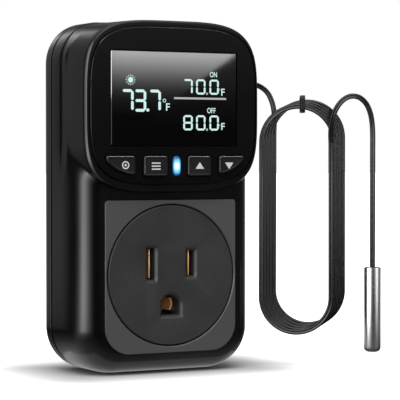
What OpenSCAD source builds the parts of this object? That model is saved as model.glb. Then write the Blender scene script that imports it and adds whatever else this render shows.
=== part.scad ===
// Plug-in temperature controller with a front outlet, a display head and a wired probe.
// Frame: the origin is midway between the two plug blades, on the rear face that meets
// the wall outlet. +Z is up, the front faces -Y, +X is to the right of the front.

/* [Case] */
// Width of the case
body_w = 56; // [52:0.5:70]
// Height of the case
body_h = 101; // [96:0.5:120]
// Depth from the rear face to the face of the outlet plate
body_d = 28; // [28:0.5:34]
// Height of the plug blades above the underside
plug_height = 31.5; // [29:0.5:36]
// Radius of the two upper corners, seen from the front
top_corner_r = 12; // [11.5:0.5:14]
// Radius of the two lower corners, seen from the front
bottom_corner_r = 13; // [12:0.5:16]
// Wall of the two shells
wall = 2; // [1.6:0.1:2.4]
// Depth of the rear shell
rear_depth = 6.2; // [5.6:0.1:7]
// Depth of the straight band, rear face to ridge
band_depth = 12.5; // [12:0.1:13.5]
// Step at the ridge
ridge_step = 0.25; // [0.2:0.05:0.4]
// How far the front rounding reaches in from the side
front_round_w = 8.5; // [7:0.5:9]
// Rounding of the rear edge
rear_round = 3; // [2:0.25:4]

/* [Head] */
// How far the head stands out past the outlet plate
head_raise = 2; // [1.5:0.1:3]
// Height of the head's chin above the plug blades
chin_height = 20.5; // [19.5:0.25:21.5]
// How far the head's sides stay inside the case outline
head_inset = 0.1; // [0.05:0.05:0.2]
// Squareness of the head's outline at its face
face_squareness = 4; // [3.5:0.1:4.6]
// Squareness of the head's outline where it leaves the case
root_squareness = 4.8; // [4.7:0.1:5.4]
// Rounding of the head's rim
rim_round = 1.1; // [0.8:0.1:1.2]
// Width of the rim round the front panel
rim_w = 1.4; // [1.3:0.1:1.8]
// Thickness of the front panel
panel_t = 2; // [1.6:0.1:2.2]
// Gap round the front panel
panel_gap = 0.2; // [0.1:0.05:0.3]

/* [Display] */
// Width of the display window
window_w = 40.3; // [38:0.1:41]
// Distance from the top of the case down to the window
window_top_gap = 8.85; // [8.5:0.05:10]
// Distance from the middle of the button row up to the window
window_key_gap = 5.75; // [5.5:0.05:6]
// Thickness of the display glass
glass_t = 1.9; // [1.6:0.1:2]
// Thickness of the backlight
backlight_t = 1.3; // [1:0.1:1.5]

/* [Buttons] */
// Height of the button row above the plug blades
key_z = 28; // [27.8:0.1:28.4]
// Offset of the button row from the middle of the head
key_row_x = 0.6; // [0:0.1:1]
// Height of a button
key_h = 5.7; // [5:0.1:5.8]
// Width of an inner button
key_w = 7.3; // [6.5:0.1:7.5]
// Distance of an inner button's centre from the light
key_spacing = 7; // [6.6:0.1:7.1]
// Inner edge of an outer button, from the light
outer_key_near = 13.5; // [13:0.1:14]
// Outer edge of an outer button, from the light
outer_key_far = 22.6; // [21:0.1:23]
// How far a button stands out of the panel
key_proud = 1; // [0.7:0.1:1.2]
// Travel of a button
key_travel = 0.5; // [0.3:0.05:0.6]
// Gap round a button
key_gap = 0.3; // [0.2:0.05:0.4]
// Width of the light
light_w = 2.7; // [2.4:0.1:3]

/* [Outlet] */
// Spacing of the two blades
blade_spacing = 12.7; // [12.5:0.1:12.9]
// Distance of the ground pin below the blades
ground_drop = 11.9; // [11.7:0.1:12.1]
// Radius of the round outlet face
outlet_r = 20; // [19:0.1:20.2]
// Height of the outlet face's centre, from the blades
outlet_z = -3.2; // [-3.6:0.1:-3]
// Gap round the outlet face
outlet_gap = 0.4; // [0.3:0.05:0.45]
// Width of the grey outlet plate
plate_w = 41.8; // [41.7:0.1:43]
// Height of the top edge of the plate
plate_top = 18.3; // [18.1:0.1:18.6]
// Height of the bottom edge of the plate
plate_bottom = -25.4; // [-25.8:0.1:-24.6]
// Radius of the plate's lower corners
plate_corner_r = 7.8; // [6:0.1:9]
// How far the plate stands out of the shell
plate_proud = 0.4; // [0.2:0.05:0.5]
// Thickness of the plate
plate_t = 2; // [1.8:0.1:2.2]
// Width of a blade slot
slot_w = 2.4; // [2.2:0.1:2.8]
// Height of the neutral slot
neutral_slot_h = 9; // [8.6:0.1:9.4]
// Height of the line slot
line_slot_h = 7.4; // [7:0.1:7.8]
// Width of the ground hole
ground_hole_w = 5.9; // [5.6:0.1:6.2]
// Chamfer at the slots
slot_chamfer = 0.8; // [0.5:0.1:1]

/* [Plug] */
// Thickness of a blade
blade_t = 1.5; // [1.4:0.05:1.6]
// Height of the line blade
line_blade_h = 6.35; // [6.2:0.05:6.5]
// Height of the neutral blade
neutral_blade_h = 7.9; // [7.6:0.05:8]
// Length of a blade outside the case
blade_len = 17.5; // [15.9:0.1:18.3]
// Radius of the ground pin
ground_pin_r = 2.38; // [2.3:0.02:2.45]
// Length of the ground pin outside the case
ground_pin_len = 20.6; // [19:0.1:21.4]
// Width of the blade carrier
carrier_w = 24; // [23:0.5:26]
// Height of the blade carrier
carrier_h = 26; // [25:0.5:28]

/* [Boards] */
// Thickness of the circuit boards
board_t = 1.6; // [1.2:0.1:1.6]
// Width of the power board
power_board_w = 47; // [45:0.5:48]
// Inset of the upper screw posts from the case sides
post_inset = 6.2; // [6:0.1:6.8]
// Inset of the lower screw posts from the case sides
low_post_inset = 9; // [8.8:0.1:9.6]
// Radius of a screw post
post_r = 2.8; // [2.6:0.1:3]

/* [Probe cable] */
// Width of the flat twin cable
cable_w = 1.6; // [1.4:0.05:1.8]
// Thickness of the flat twin cable
cable_t = 0.85; // [0.7:0.05:0.95]
// Radius of the hank's ends
hank_r = 10.5; // [9.5:0.1:11]
// Length of the hank's straight runs
hank_run = 45.7; // [40:0.1:50]
// Shift of one loop from the next, to the side
loop_shift = 0.95; // [0.9:0.05:1.1]
// Shift of one loop from the next, downwards
loop_drop = 0.45; // [0.4:0.05:0.5]
// Distance of one loop from the next, front to back
loop_depth = 1.4; // [1.35:0.05:1.5]
// Diameter of the probe
probe_d = 5; // [4:0.5:6]
// Length of the probe
probe_len = 25; // [20:0.5:28]

/* [Hidden] */
$fn = 48;
over = 0.5;
clearance = 0.15;
seat_gap = 0.05;
corner_steps = 8;
squircle_steps = 48;
fillet_steps = 6;

case_top = body_h - plug_height;
case_bottom = -plug_height;
shell_front = body_d - plate_proud;
panel_front = body_d + head_raise;
panel_back = panel_front - panel_t;
head_floor_t = 1.8;
head_floor = panel_back - head_floor_t;
front_round_d = shell_front - band_depth;
plate_back = body_d - plate_t;
seat_wall = 1.4;
cavity_front = plate_back - seat_wall;
rear_floor = 2.2;

// What stands above the chin keeps its share of the height from the chin to the top
head_span = 49;
gland_drop = 5;
tall = (case_top - chin_height) / head_span;
snug = min(1, tall);
gland_z = case_top - top_corner_r - tall * gland_drop;
window_h = case_top - window_top_gap - key_z - window_key_gap;
window_z = (case_top - window_top_gap + key_z + window_key_gap) / 2;

head_a = body_w / 2 - head_inset;
head_top = case_top - head_inset;
head_b = (head_top - chin_height) / 2;
head_z = (head_top + chin_height) / 2;
panel_a = head_a - rim_w - panel_gap;
chin_extra = 0.6;
panel_b = head_b - rim_w - panel_gap - chin_extra;
chin_share = 0.35;
panel_z = head_z + chin_share * chin_extra;

// Depths of the two circuit boards, from the rear face
control_front = 21.6;
control_back = control_front - board_t;
power_back = 5.4;
power_front = power_back + board_t;
board_screw_r = 0.8;
board_screw_len = 3;
board_screw_head_r = 1.5;
board_screw_head_t = 0.9;
control_post_r = 1.4;
control_post_in = 4.8;
control_post_x = head_a - control_post_in;
control_post_rise = 7.3;
control_post_z = tall * control_post_rise;
CONTROL_POSTS = [
    [control_post_x, head_z + control_post_z], [-control_post_x, head_z + control_post_z],
    [control_post_x, head_z - control_post_z], [-control_post_x, head_z - control_post_z]
];
power_post_r = 2.1;
power_post_x = power_board_w / 2 - 2 * power_post_r;
power_post_rise = 31.5;
power_post_top = chin_height + tall * power_post_rise;
power_post_low = -12;
POWER_POSTS = [
    [power_post_x, power_post_top], [-power_post_x, power_post_top],
    [power_post_x, power_post_low], [-power_post_x, power_post_low]
];

// Outline helpers
function arc(cx, cz, r, a0, steps) =
    [for (i = [0:steps]) let (a = a0 + 90 * i / steps) [cx + r * cos(a), cz + r * sin(a)]];

function case_outline(d) =
    let (
        w = body_w / 2 - d,
        lo = case_bottom + d,
        hi = case_top - d,
        rt = top_corner_r - d,
        rb = bottom_corner_r - d
    )
    concat(
        arc(w - rt, hi - rt, rt, 0, corner_steps),
        arc(-w + rt, hi - rt, rt, 90, corner_steps),
        arc(-w + rb, lo + rb, rb, 180, corner_steps),
        arc(w - rb, lo + rb, rb, 270, corner_steps)
    );

function bent(v, e) = sign(v) * pow(abs(v), 2 / e);

function squircle(a, b, zc, e) =
    [for (i = [0:squircle_steps - 1])
        let (t = 360 * (i + 0.5) / squircle_steps)
        [a * bent(cos(t), e), zc + b * bent(sin(t), e)]];

// A skin through rings of points, from the rear ring to the front ring
module loft(rings, depths) {
    n = len(rings[0]);
    last = len(rings) - 1;
    points = [for (k = [0:last]) for (p = rings[k]) [p[0], -depths[k], p[1]]];
    sides = [for (k = [0:last - 1]) for (j = [0:n - 1])
        let (a = k * n + j, b = k * n + (j + 1) % n)
        each [[a, a + n, b + n], [a, b + n, b]]];
    rear = [[for (j = [0:n - 1]) j]];
    front = [[for (j = [n - 1:-1:0]) last * n + j]];
    polyhedron(points, concat(sides, rear, front), convexity = 6);
}

// A flat piece drawn as seen from the front, between two depths behind the rear face
module slab(back, front) {
    translate([0, -back, 0])
        rotate([90, 0, 0])
            linear_extrude(front - back)
                children();
}

module rect_at(x, z, w, h) {
    translate([x - w / 2, z - h / 2])
        square([w, h]);
}

module round_rect(x, z, w, h, r) {
    for (sx = [-1, 1]) for (sz = [-1, 1])
        translate([x + sx * (w / 2 - r), z + sz * (h / 2 - r)])
            circle(r);
    rect_at(x, z, w - 2 * r, h);
    rect_at(x, z, w, h - 2 * r);
}

module rod(x, z, r, back, front) {
    translate([x, -back, z])
        rotate([90, 0, 0])
            cylinder(r = r, h = front - back);
}

// A moulded post with draft, wider by the draft at its root
boss_draft = 0.15;
boss_sides = 32;
module boss(x, z, r, root, tip) {
    hull() {
        translate([x, -root, z])
            rotate([90, 0, 0])
                cylinder(r = r + boss_draft, h = seat_gap, $fn = boss_sides);
        translate([x, -tip + (tip > root ? seat_gap : 0), z])
            rotate([90, 0, 0])
                cylinder(r = r, h = seat_gap, $fn = boss_sides);
    }
}

// Case
post_x = body_w / 2 - post_inset;
post_top_z = case_top - post_inset;
low_post_x = body_w / 2 - low_post_inset;
low_post_z = case_bottom + low_post_inset;
top_post_tip = 19;
POSTS = [
    [post_x, post_top_z], [-post_x, post_top_z],
    [low_post_x, low_post_z], [-low_post_x, low_post_z]
];
screw_r = 1.3;
screw_head_r = 2.5;
screw_head_t = 1.2;
screw_len = 14;

module case_block(d, back, round_d) {
    angles = [for (i = [0:fillet_steps]) 90 - 90 * i / fillet_steps];
    loft(
        concat(
            [case_outline(d), case_outline(d)],
            [for (a = angles) case_outline(d + ridge_step + front_round_w * (1 - sin(a)))]
        ),
        concat(
            [back, band_depth],
            [for (a = angles) band_depth + round_d * cos(a)]
        )
    );
}

module head_block(d, front, rounding) {
    turns = rounding > 0 ? [0, 30, 60, 90] : [90];
    root = band_depth - over;
    loft(
        concat(
            [squircle(head_a - d, head_b - d, head_z, root_squareness)],
            [for (t = turns)
                let (inset = d + rounding * (1 - cos(t)))
                squircle(head_a - inset, head_b - inset, head_z, face_squareness)]
        ),
        concat([root], [for (t = turns) front - rounding * (1 - sin(t))])
    );
}

module key_shape(side, grow) {
    intersection() {
        polygon(squircle(
            panel_a - key_border + grow,
            panel_b - key_border + grow,
            panel_z,
            face_squareness
        ));
        round_rect(
            key_row_x + side * (outer_key_near + outer_key_far) / 2,
            key_z,
            outer_key_far - outer_key_near + 2 * grow,
            key_h + 2 * grow,
            key_corner_r + grow
        );
    }
}
key_border = 2.1;
key_corner_r = 0.7;

module inner_key_shape(side, grow) {
    round_rect(
        key_row_x + side * key_spacing,
        key_z,
        key_w + 2 * grow,
        key_h + 2 * grow,
        key_corner_r + grow
    );
}

module light_shape(grow) {
    hull_half = key_h / 2 - light_w / 2;
    for (s = [-1, 1])
        translate([key_row_x, key_z + s * hull_half])
            circle(light_w / 2 + grow);
    rect_at(key_row_x, key_z, light_w + 2 * grow, 2 * hull_half);
}

module panel_holes(grow) {
    key_shape(-1, grow);
    key_shape(1, grow);
    inner_key_shape(-1, grow);
    inner_key_shape(1, grow);
    light_shape(clearance);
}

window_corner_r = 0.4;
lcd_border = 0.6;

module front_shell() {
    color("#1b1b1c")
    difference() {
        union() {
            difference() {
                union() {
                    case_block(0, rear_depth, front_round_d);
                    head_block(0, panel_front, rim_round);
                }
                case_block(wall, rear_depth - over, cavity_front - band_depth);
                head_block(wall, head_floor, 0);
            }
            boss(post_x, post_top_z, post_r, rear_depth, top_post_tip);
            boss(-post_x, post_top_z, post_r, rear_depth, top_post_tip);
            boss(low_post_x, low_post_z, post_r, cavity_front + seat_gap, rear_depth);
            boss(-low_post_x, low_post_z, post_r, cavity_front + seat_gap, rear_depth);
            for (p = CONTROL_POSTS)
                boss(p[0], p[1], control_post_r, head_floor + seat_gap, control_front);
        }
        slab(panel_back, panel_front + over)
            polygon(squircle(panel_a + panel_gap, panel_b + panel_gap, panel_z, face_squareness));
        slab(head_floor - over, panel_front + over) {
            rect_at(0, window_z, window_w + 2 * lcd_border, window_h + 2 * lcd_border);
            panel_holes(key_gap);
        }
        slab(plate_back, body_d + over)
            plate_outline(clearance);
        rod(0, outlet_z, hub_r + clearance, cavity_front - over, body_d);
        for (p = POSTS)
            rod(p[0], p[1], screw_r, rear_depth - over, screw_len + over);
        for (p = CONTROL_POSTS)
            rod(p[0], p[1], board_screw_r, control_front - over, control_front + board_screw_len);
        gland_hole();
    }
}

module rear_shell() {
    turns = [0, 22.5, 45, 67.5, 90];
    color("#1b1b1c")
    difference() {
        union() {
            difference() {
                loft(
                    concat(
                        [for (t = turns) case_outline(rear_round * (1 - sin(t)))],
                        [case_outline(0)]
                    ),
                    concat([for (t = turns) rear_round * (1 - cos(t))], [rear_depth])
                );
                slab(rear_floor, rear_depth + over)
                    polygon(case_outline(wall + ridge_step));
            }
            for (p = POSTS)
                boss(p[0], p[1], post_r, rear_floor - 2 * seat_gap, rear_depth);
            for (p = POWER_POSTS)
                boss(p[0], p[1], power_post_r, rear_floor - 2 * seat_gap, power_back);
        }
        slab(-over, rear_floor + over)
            round_rect(0, carrier_z, carrier_w + 2 * clearance, carrier_h + 2 * clearance, carrier_r);
        for (p = POSTS) {
            rod(p[0], p[1], screw_r + clearance, -over, rear_depth + over);
            rod(p[0], p[1], screw_head_r + clearance, -over, screw_head_t + clearance);
        }
        for (p = POWER_POSTS)
            rod(p[0], p[1], board_screw_r, rear_floor, power_back + over);
    }
}

module housing_screws() {
    color("#3a3a3c")
    for (p = POSTS) {
        rod(p[0], p[1], screw_head_r, clearance, clearance + screw_head_t);
        rod(p[0], p[1], screw_r - seat_gap, clearance, screw_len);
    }
}

// Front panel and display
module front_panel() {
    color("#161617")
    difference() {
        slab(panel_back, panel_front)
            polygon(squircle(panel_a, panel_b, panel_z, face_squareness));
        slab(panel_back - over, panel_front + over) {
            round_rect(0, window_z, window_w + seat_gap, window_h + seat_gap, window_corner_r);
            panel_holes(key_gap);
        }
    }
}

module display_window() {
    color("#0a0a0c")
    slab(panel_back, panel_front)
        round_rect(0, window_z, window_w, window_h, window_corner_r);
}

glass_front = panel_back - seat_gap;
glass_back = glass_front - glass_t;
glass_w = window_w + 2 * lcd_border - 2 * clearance;
glass_h = window_h + 2 * lcd_border - 2 * clearance;
frame_wall = 1.1;
frame_lip = 1.9;
light_margin = 0.7;
frame_back = control_front + seat_gap;

module lcd_glass() {
    color("#20242a")
    slab(glass_back, glass_front)
        round_rect(0, window_z, glass_w, glass_h, window_corner_r);
}

module lcd_frame() {
    outer_w = glass_w + 2 * frame_wall;
    outer_h = glass_h + 2 * frame_wall;
    color("#141415")
    difference() {
        slab(frame_back, head_floor - seat_gap)
            round_rect(0, window_z, outer_w, outer_h, 2 * window_corner_r);
        slab(glass_back - clearance, head_floor + over)
            rect_at(0, window_z, glass_w + seat_gap, glass_h + seat_gap);
        slab(frame_back - over, head_floor + over)
            rect_at(0, window_z, glass_w - 2 * frame_lip, glass_h - 2 * frame_lip);
        slab(glass_back - clearance - backlight_t, head_floor)
            rect_at(0, window_z, glass_w - 2 * light_margin, glass_h - 2 * light_margin);
        zebra_slots(2 * seat_gap);
    }
}

module backlight_panel() {
    color("#e9eef0")
    slab(glass_back - clearance - backlight_t, glass_back - clearance)
        rect_at(
            0, window_z,
            glass_w - 2 * light_margin - 2 * clearance,
            glass_h - 2 * light_margin - 2 * clearance
        );
}

zebra_w = 30;
zebra_t = 0.8;
zebra_in = 0.25;
module zebra_slots(grow) {
    for (s = [-1, 1])
        slab(frame_back - over, glass_back - clearance + over)
            rect_at(
                0,
                window_z + s * (glass_h / 2 - zebra_in),
                zebra_w + 2 * grow,
                zebra_t + 2 * grow
            );
}

module zebra_strips() {
    color("#8b8f94")
    for (s = [-1, 1])
        slab(control_front, glass_back)
            rect_at(
                0,
                window_z + s * (glass_h / 2 - zebra_in),
                zebra_w,
                zebra_t
            );
}

// Control board behind the head
control_edge = 2.5;

module control_board() {
    color("#1d5a36")
    difference() {
        slab(control_back, control_front)
            polygon(squircle(head_a - control_edge, head_b - control_edge, head_z, face_squareness));
        for (p = CONTROL_POSTS)
            rod(p[0], p[1], board_screw_r + clearance, control_back - over, control_front + over);
    }
}

mcu_size = 10;
mcu_w = snug * mcu_size;
mcu_t = 1.5;
mcu_x = -9;
mcu_rise = 33.9;
mcu_z = chin_height + tall * mcu_rise;
module microcontroller() {
    color("#222224")
    slab(control_back - mcu_t, control_back)
        difference() {
            round_rect(mcu_x, mcu_z, mcu_w, mcu_w, window_corner_r);
            translate([mcu_x - mcu_w / 2, mcu_z + mcu_w / 2])
                circle(2 * window_corner_r);
        }
    color("#b9bcc0")
    for (s = [-1, 1]) for (i = [-4:4]) {
        slab(control_back - mcu_lead_w, control_back)
            rect_at(mcu_x + s * (mcu_w + mcu_lead_len) / 2, mcu_z + i * mcu_spacing, mcu_lead_len, mcu_lead_w);
        slab(control_back - mcu_lead_w, control_back)
            rect_at(mcu_x + i * mcu_spacing, mcu_z + s * (mcu_w + mcu_lead_len) / 2, mcu_lead_w, mcu_lead_len);
    }
}
mcu_lead_gap = 1;
mcu_spacing = snug * mcu_lead_gap;
mcu_lead_w = 0.4;
mcu_lead_len = 1;

// Buttons and their switches
key_front = panel_front + key_proud;
key_flange_front = head_floor - seat_gap;
key_flange_t = 0.8;
key_flange_back = key_flange_front - key_flange_t;
flange_grow = 0.5;
plunger_r = 1.6;
plunger_front = key_flange_back - seat_gap;
switch_w = 6;
switch_h = 5.6;
switch_top = plunger_front - key_travel - 0.4 * key_flange_t;
outer_switch_shift = 0.9;
KEY_X = [
    key_row_x - (outer_key_near + outer_key_far) / 2 + outer_switch_shift,
    key_row_x - key_spacing,
    key_row_x + key_spacing,
    key_row_x + (outer_key_near + outer_key_far) / 2 - outer_switch_shift
];

module key_body() {
    color("#262628") {
        slab(key_flange_front - seat_gap, key_front - key_edge)
            children(0);
        slab(key_flange_front - seat_gap, key_front)
            children(1);
        slab(key_flange_back, key_flange_front)
            children(2);
    }
}
key_edge = 0.4;

module set_button() {
    key_body() {
        key_shape(-1, 0);
        key_shape(-1, -key_edge);
        key_shape(-1, flange_grow);
    }
}
module function_button() {
    key_body() {
        inner_key_shape(-1, 0);
        inner_key_shape(-1, -key_edge);
        inner_key_shape(-1, flange_grow);
    }
}
module up_button() {
    key_body() {
        inner_key_shape(1, 0);
        inner_key_shape(1, -key_edge);
        inner_key_shape(1, flange_grow);
    }
}
module down_button() {
    key_body() {
        key_shape(1, 0);
        key_shape(1, -key_edge);
        key_shape(1, flange_grow);
    }
}

module switch_bases() {
    for (x = KEY_X) {
        color("#2b2b2d")
        difference() {
            slab(control_front, switch_top)
                round_rect(x, key_z, switch_w, switch_h, window_corner_r);
            rod(x, key_z, plunger_r + clearance, control_front + switch_floor, switch_top + over);
        }
    }
}
switch_floor = 0.6;

module plunger(i) {
    color("#d9d2c3")
    rod(KEY_X[i], key_z, plunger_r, control_front + switch_floor + key_travel + clearance, plunger_front);
}
module set_switch_plunger() {
    plunger(0);
}
module function_switch_plunger() {
    plunger(1);
}
module up_switch_plunger() {
    plunger(2);
}
module down_switch_plunger() {
    plunger(3);
}

led_t = 1.4;
module light_pipe() {
    color("#dff1ff")
    difference() {
        slab(control_front + led_t + clearance, panel_front + clearance)
            light_shape(0);
        slab(control_front, control_front + led_t + 2 * clearance)
            rect_at(key_row_x, key_z, light_w / 2, light_w / 2);
    }
}
module indicator_led() {
    color("#f2f4f6")
    slab(control_front, control_front + led_t)
        rect_at(key_row_x, key_z, light_w - 4 * clearance, light_w);
}

module board_screw(x, z, head, tip) {
    s = sign(tip - head);
    rod(x, z, board_screw_head_r, min(head, head - s * board_screw_head_t), max(head, head - s * board_screw_head_t));
    rod(x, z, board_screw_r - seat_gap, min(head, tip), max(head, tip));
}
module board_screws() {
    color("#c4c6c9") {
        for (p = CONTROL_POSTS)
            board_screw(p[0], p[1], control_back, control_front + board_screw_len - over);
        for (p = POWER_POSTS)
            board_screw(p[0], p[1], power_front, power_back - board_screw_len);
    }
}

// Outlet
function plate_mid() = (plate_top + plate_bottom) / 2;
plate_top_r = 1;
module plate_outline(grow) {
    h = plate_top - plate_bottom;
    w = plate_w + 2 * grow;
    r = plate_corner_r + grow;
    for (s = [-1, 1]) {
        translate([s * (w / 2 - r), plate_bottom - grow + r])
            circle(r);
        translate([s * (w / 2 - plate_top_r), plate_top + grow - plate_top_r])
            circle(plate_top_r);
    }
    rect_at(0, plate_bottom - grow + r / 2, w - 2 * r, r);
    rect_at(0, plate_mid() + (r - plate_top_r) / 2, w, h + 2 * grow - r - plate_top_r);
    rect_at(0, plate_top + grow - plate_top_r / 2, w - 2 * plate_top_r, plate_top_r);
}

hub_r = 18.3;
hub_back = 13.2;
ring_bevel = 0.25;
module socket_plate() {
    color("#474748")
    difference() {
        slab(plate_back, body_d)
            plate_outline(0);
        rod(0, outlet_z, outlet_r + outlet_gap, plate_back - over, body_d + over);
        translate([0, -body_d, outlet_z])
            rotate([-90, 0, 0])
                cylinder(r1 = outlet_r + outlet_gap + ring_bevel, r2 = outlet_r + outlet_gap, h = ring_bevel);
    }
}

// Frustum-shaped countersink of a rectangular slot, made from two crossed trapezoids
module slot_bevel(x, z, w, h) {
    c = slot_chamfer;
    intersection() {
        translate([x, 0, z - h])
            linear_extrude(2 * h)
                polygon([
                    [-w / 2, -body_d + c], [w / 2, -body_d + c],
                    [w / 2 + c + over, -body_d - over], [-w / 2 - c - over, -body_d - over]
                ]);
        translate([x - w - 2 * c, 0, z])
            rotate([90, 0, 90])
                linear_extrude(2 * w + 4 * c)
                    polygon([
                        [-body_d + c, -h / 2], [-body_d + c, h / 2],
                        [-body_d - over, h / 2 + c + over], [-body_d - over, -h / 2 - c - over]
                    ]);
    }
}

ground_r = ground_hole_w / 2;
ground_flat = 2.9;
module ground_hole_shape(grow) {
    translate([0, -ground_drop])
        circle(ground_r + grow);
    rect_at(0, -ground_drop - (ground_flat + grow) / 2, ground_hole_w + 2 * grow, ground_flat + grow);
}

pocket_depth = 3;
pocket_w = 5.2;
pocket_h = 10.6;
module socket_insert() {
    color("#333334")
    difference() {
        union() {
            slab(plate_back, body_d - ring_bevel)
                translate([0, outlet_z])
                    circle(outlet_r);
            translate([0, -body_d, outlet_z])
                rotate([-90, 0, 0])
                    cylinder(r1 = outlet_r - ring_bevel, r2 = outlet_r, h = ring_bevel);
            rod(0, outlet_z, hub_r, hub_back, plate_back + seat_gap);
        }
        slab(hub_back - over, body_d + over) {
            rect_at(-blade_spacing / 2, 0, slot_w, neutral_slot_h);
            rect_at(blade_spacing / 2, 0, slot_w, line_slot_h);
            ground_hole_shape(0);
        }
        slab(hub_back - over, body_d - pocket_depth)
            for (s = [-1, 1])
                rect_at(s * blade_spacing / 2, 0, pocket_w, pocket_h);
        rod(0, -ground_drop, ground_pocket_r, hub_back - over, body_d - ground_pocket_depth);
        slot_bevel(-blade_spacing / 2, 0, slot_w, neutral_slot_h);
        slot_bevel(blade_spacing / 2, 0, slot_w, line_slot_h);
        translate([0, -body_d - over, -ground_drop])
            rotate([-90, 0, 0])
                cylinder(r1 = ground_r + slot_chamfer + over, r2 = ground_r, h = slot_chamfer + over);
        intersection() {
            slot_bevel(0, -ground_drop - ground_flat / 2, ground_hole_w, ground_flat);
            translate([-outlet_r, -body_d - 2 * over, -ground_drop - outlet_r])
                cube([2 * outlet_r, outlet_r, outlet_r]);
        }
    }
}
ground_pocket_r = 3.6;
ground_pocket_depth = 4.6;

// Contacts inside the outlet
leaf_t = 0.5;
leaf_h = 6.6;
leaf_gap = 1.9;
tail_w = 3;
tail_end = 7.05;
tail_shift = 1.55;
module blade_contact(x) {
    color("#c27a43") {
        difference() {
            slab(hub_back + over, body_d - pocket_depth - clearance)
                rect_at(x, 0, leaf_gap + 2 * leaf_t, leaf_h);
            slab(hub_back + over + leaf_t, body_d)
                rect_at(x, 0, leaf_gap, leaf_h + over);
            // mouth of the leaves opens towards the slot
            translate([x, -body_d + pocket_depth, 0])
                rotate([0, 0, 45])
                    cube([leaf_gap, leaf_gap, 2 * leaf_h], center = true);
        }
        slab(tail_end, hub_back + over + leaf_t)
            rect_at(x + sign(x) * tail_shift, 0, leaf_t, tail_w);
    }
}
module neutral_contact() {
    blade_contact(-blade_spacing / 2);
}
module line_contact() {
    blade_contact(blade_spacing / 2);
}

sleeve_r = 3.3;
sleeve_bore_r = 2.7;
sleeve_slot = 1.2;
module ground_contact() {
    color("#c27a43") {
        difference() {
            rod(0, -ground_drop, sleeve_r, hub_back + over, body_d - ground_pocket_depth - clearance);
            rod(0, -ground_drop, sleeve_bore_r, hub_back + over + leaf_t, body_d);
            slab(hub_back + 2 * over + leaf_t, body_d)
                rect_at(0, -ground_drop + sleeve_r, sleeve_slot, 2 * sleeve_r);
        }
        slab(tail_end, hub_back + over + leaf_t)
            rect_at(0, -ground_drop - ground_tail_drop, tail_w, leaf_t);
    }
}
ground_tail_drop = 2.95;

// Plug
carrier_z = -4.2;
carrier_r = 3;
carrier_back = 0;
carrier_flange = 1.2;
carrier_front = 5;
pin_tail_len = 1;
module blade_carrier() {
    color("#242425")
    difference() {
        union() {
            slab(carrier_back, carrier_front)
                round_rect(0, carrier_z, carrier_w, carrier_h, carrier_r);
            slab(rear_floor + seat_gap, carrier_front)
                round_rect(
                    0, carrier_z,
                    carrier_w + 2 * carrier_flange, carrier_h + 2 * carrier_flange,
                    carrier_r + carrier_flange
                );
        }
        slab(-over, carrier_front + over) {
            rect_at(-blade_spacing / 2, 0, blade_t, neutral_blade_h);
            rect_at(blade_spacing / 2, 0, blade_t, line_blade_h);
        }
        rod(0, -ground_drop, ground_shank_r, -over, carrier_front + over);
        rod(0, -ground_drop, ground_pin_r, -over, ground_seat);
    }
}
ground_shank_r = 1.9;
ground_seat = 0.1;

blade_tip = 1.8;
blade_hole_r = 1.55;
blade_hole_at = 11.7;
// Blade seen from the side: depth to the right, height up, with a bevelled tip
module blade_profile(h) {
    difference() {
        polygon([
            [-power_front - pin_tail_len, -h / 2], [blade_len - blade_tip, -h / 2],
            [blade_len, -h / 2 + blade_tip / 2], [blade_len, h / 2 - blade_tip / 2],
            [blade_len - blade_tip, h / 2], [-power_front - pin_tail_len, h / 2]
        ]);
        translate([blade_hole_at, 0])
            circle(blade_hole_r);
        // waist that the board's slot takes
        for (s = [-1, 1])
            translate([-power_front - pin_tail_len - over, s * h / 2 - h / 4])
                square([power_front + pin_tail_len + over - carrier_front, h / 2]);
    }
}
module blade(x, h) {
    color("#d8c07a")
    translate([x - blade_t / 2, 0, 0])
        rotate([90, 0, 90])
            linear_extrude(blade_t)
                blade_profile(h);
}
module neutral_blade() {
    blade(-blade_spacing / 2, neutral_blade_h);
}
module line_blade() {
    blade(blade_spacing / 2, line_blade_h);
}

ground_tip = 1.6;
ground_tail_r = 1.2;
module ground_pin() {
    color("#d8c07a")
    translate([0, 0, -ground_drop])
        rotate([-90, 0, 0])
            rotate_extrude()
                polygon([
                    [0, -power_front - pin_tail_len], [ground_tail_r, -power_front - pin_tail_len],
                    [ground_tail_r, -carrier_front], [ground_shank_r, -carrier_front],
                    [ground_shank_r, -ground_seat], [ground_pin_r, -ground_seat],
                    [ground_pin_r, ground_pin_len - ground_tip],
                    [ground_pin_r / 2, ground_pin_len], [0, ground_pin_len]
                ]);
}

// Power board at the rear
power_edge = 2.6;
module power_board() {
    top = case_top - wall - power_edge;
    bottom = case_bottom + wall + power_edge;
    color("#2a6b3f")
    difference() {
        slab(power_back, power_front)
            difference() {
                rect_at(0, (top + bottom) / 2, power_board_w, top - bottom);
                for (p = POSTS)
                    translate(p)
                        circle(post_r + over);
                for (sx = [-1, 1]) for (p = [[top, 1], [bottom, -1]])
                    translate([sx * power_board_w / 2, p[0]])
                        rotate(45)
                            square(board_corner_cut, center = true);
                rect_at(-blade_spacing / 2, 0, blade_t + 2 * clearance, neutral_blade_h / 2 + 2 * clearance);
                rect_at(blade_spacing / 2, 0, blade_t + 2 * clearance, line_blade_h / 2 + 2 * clearance);
            }
        rod(0, -ground_drop, ground_tail_r + clearance, power_back - over, power_front + over);
        for (p = POWER_POSTS)
            rod(p[0], p[1], board_screw_r + clearance, power_back - over, power_front + over);
    }
}
board_corner_cut = 9;

relay_w = 18;
relay_size = 10.2;
relay_h = snug * relay_size;
relay_d = 12.4;
relay_x = -11;
relay_rise = 21.5;
relay_z = chin_height + tall * relay_rise;
module relay() {
    color("#2f5fa8")
    slab(power_front, power_front + relay_d)
        round_rect(relay_x, relay_z, relay_w, relay_h, 2 * window_corner_r);
}

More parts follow.
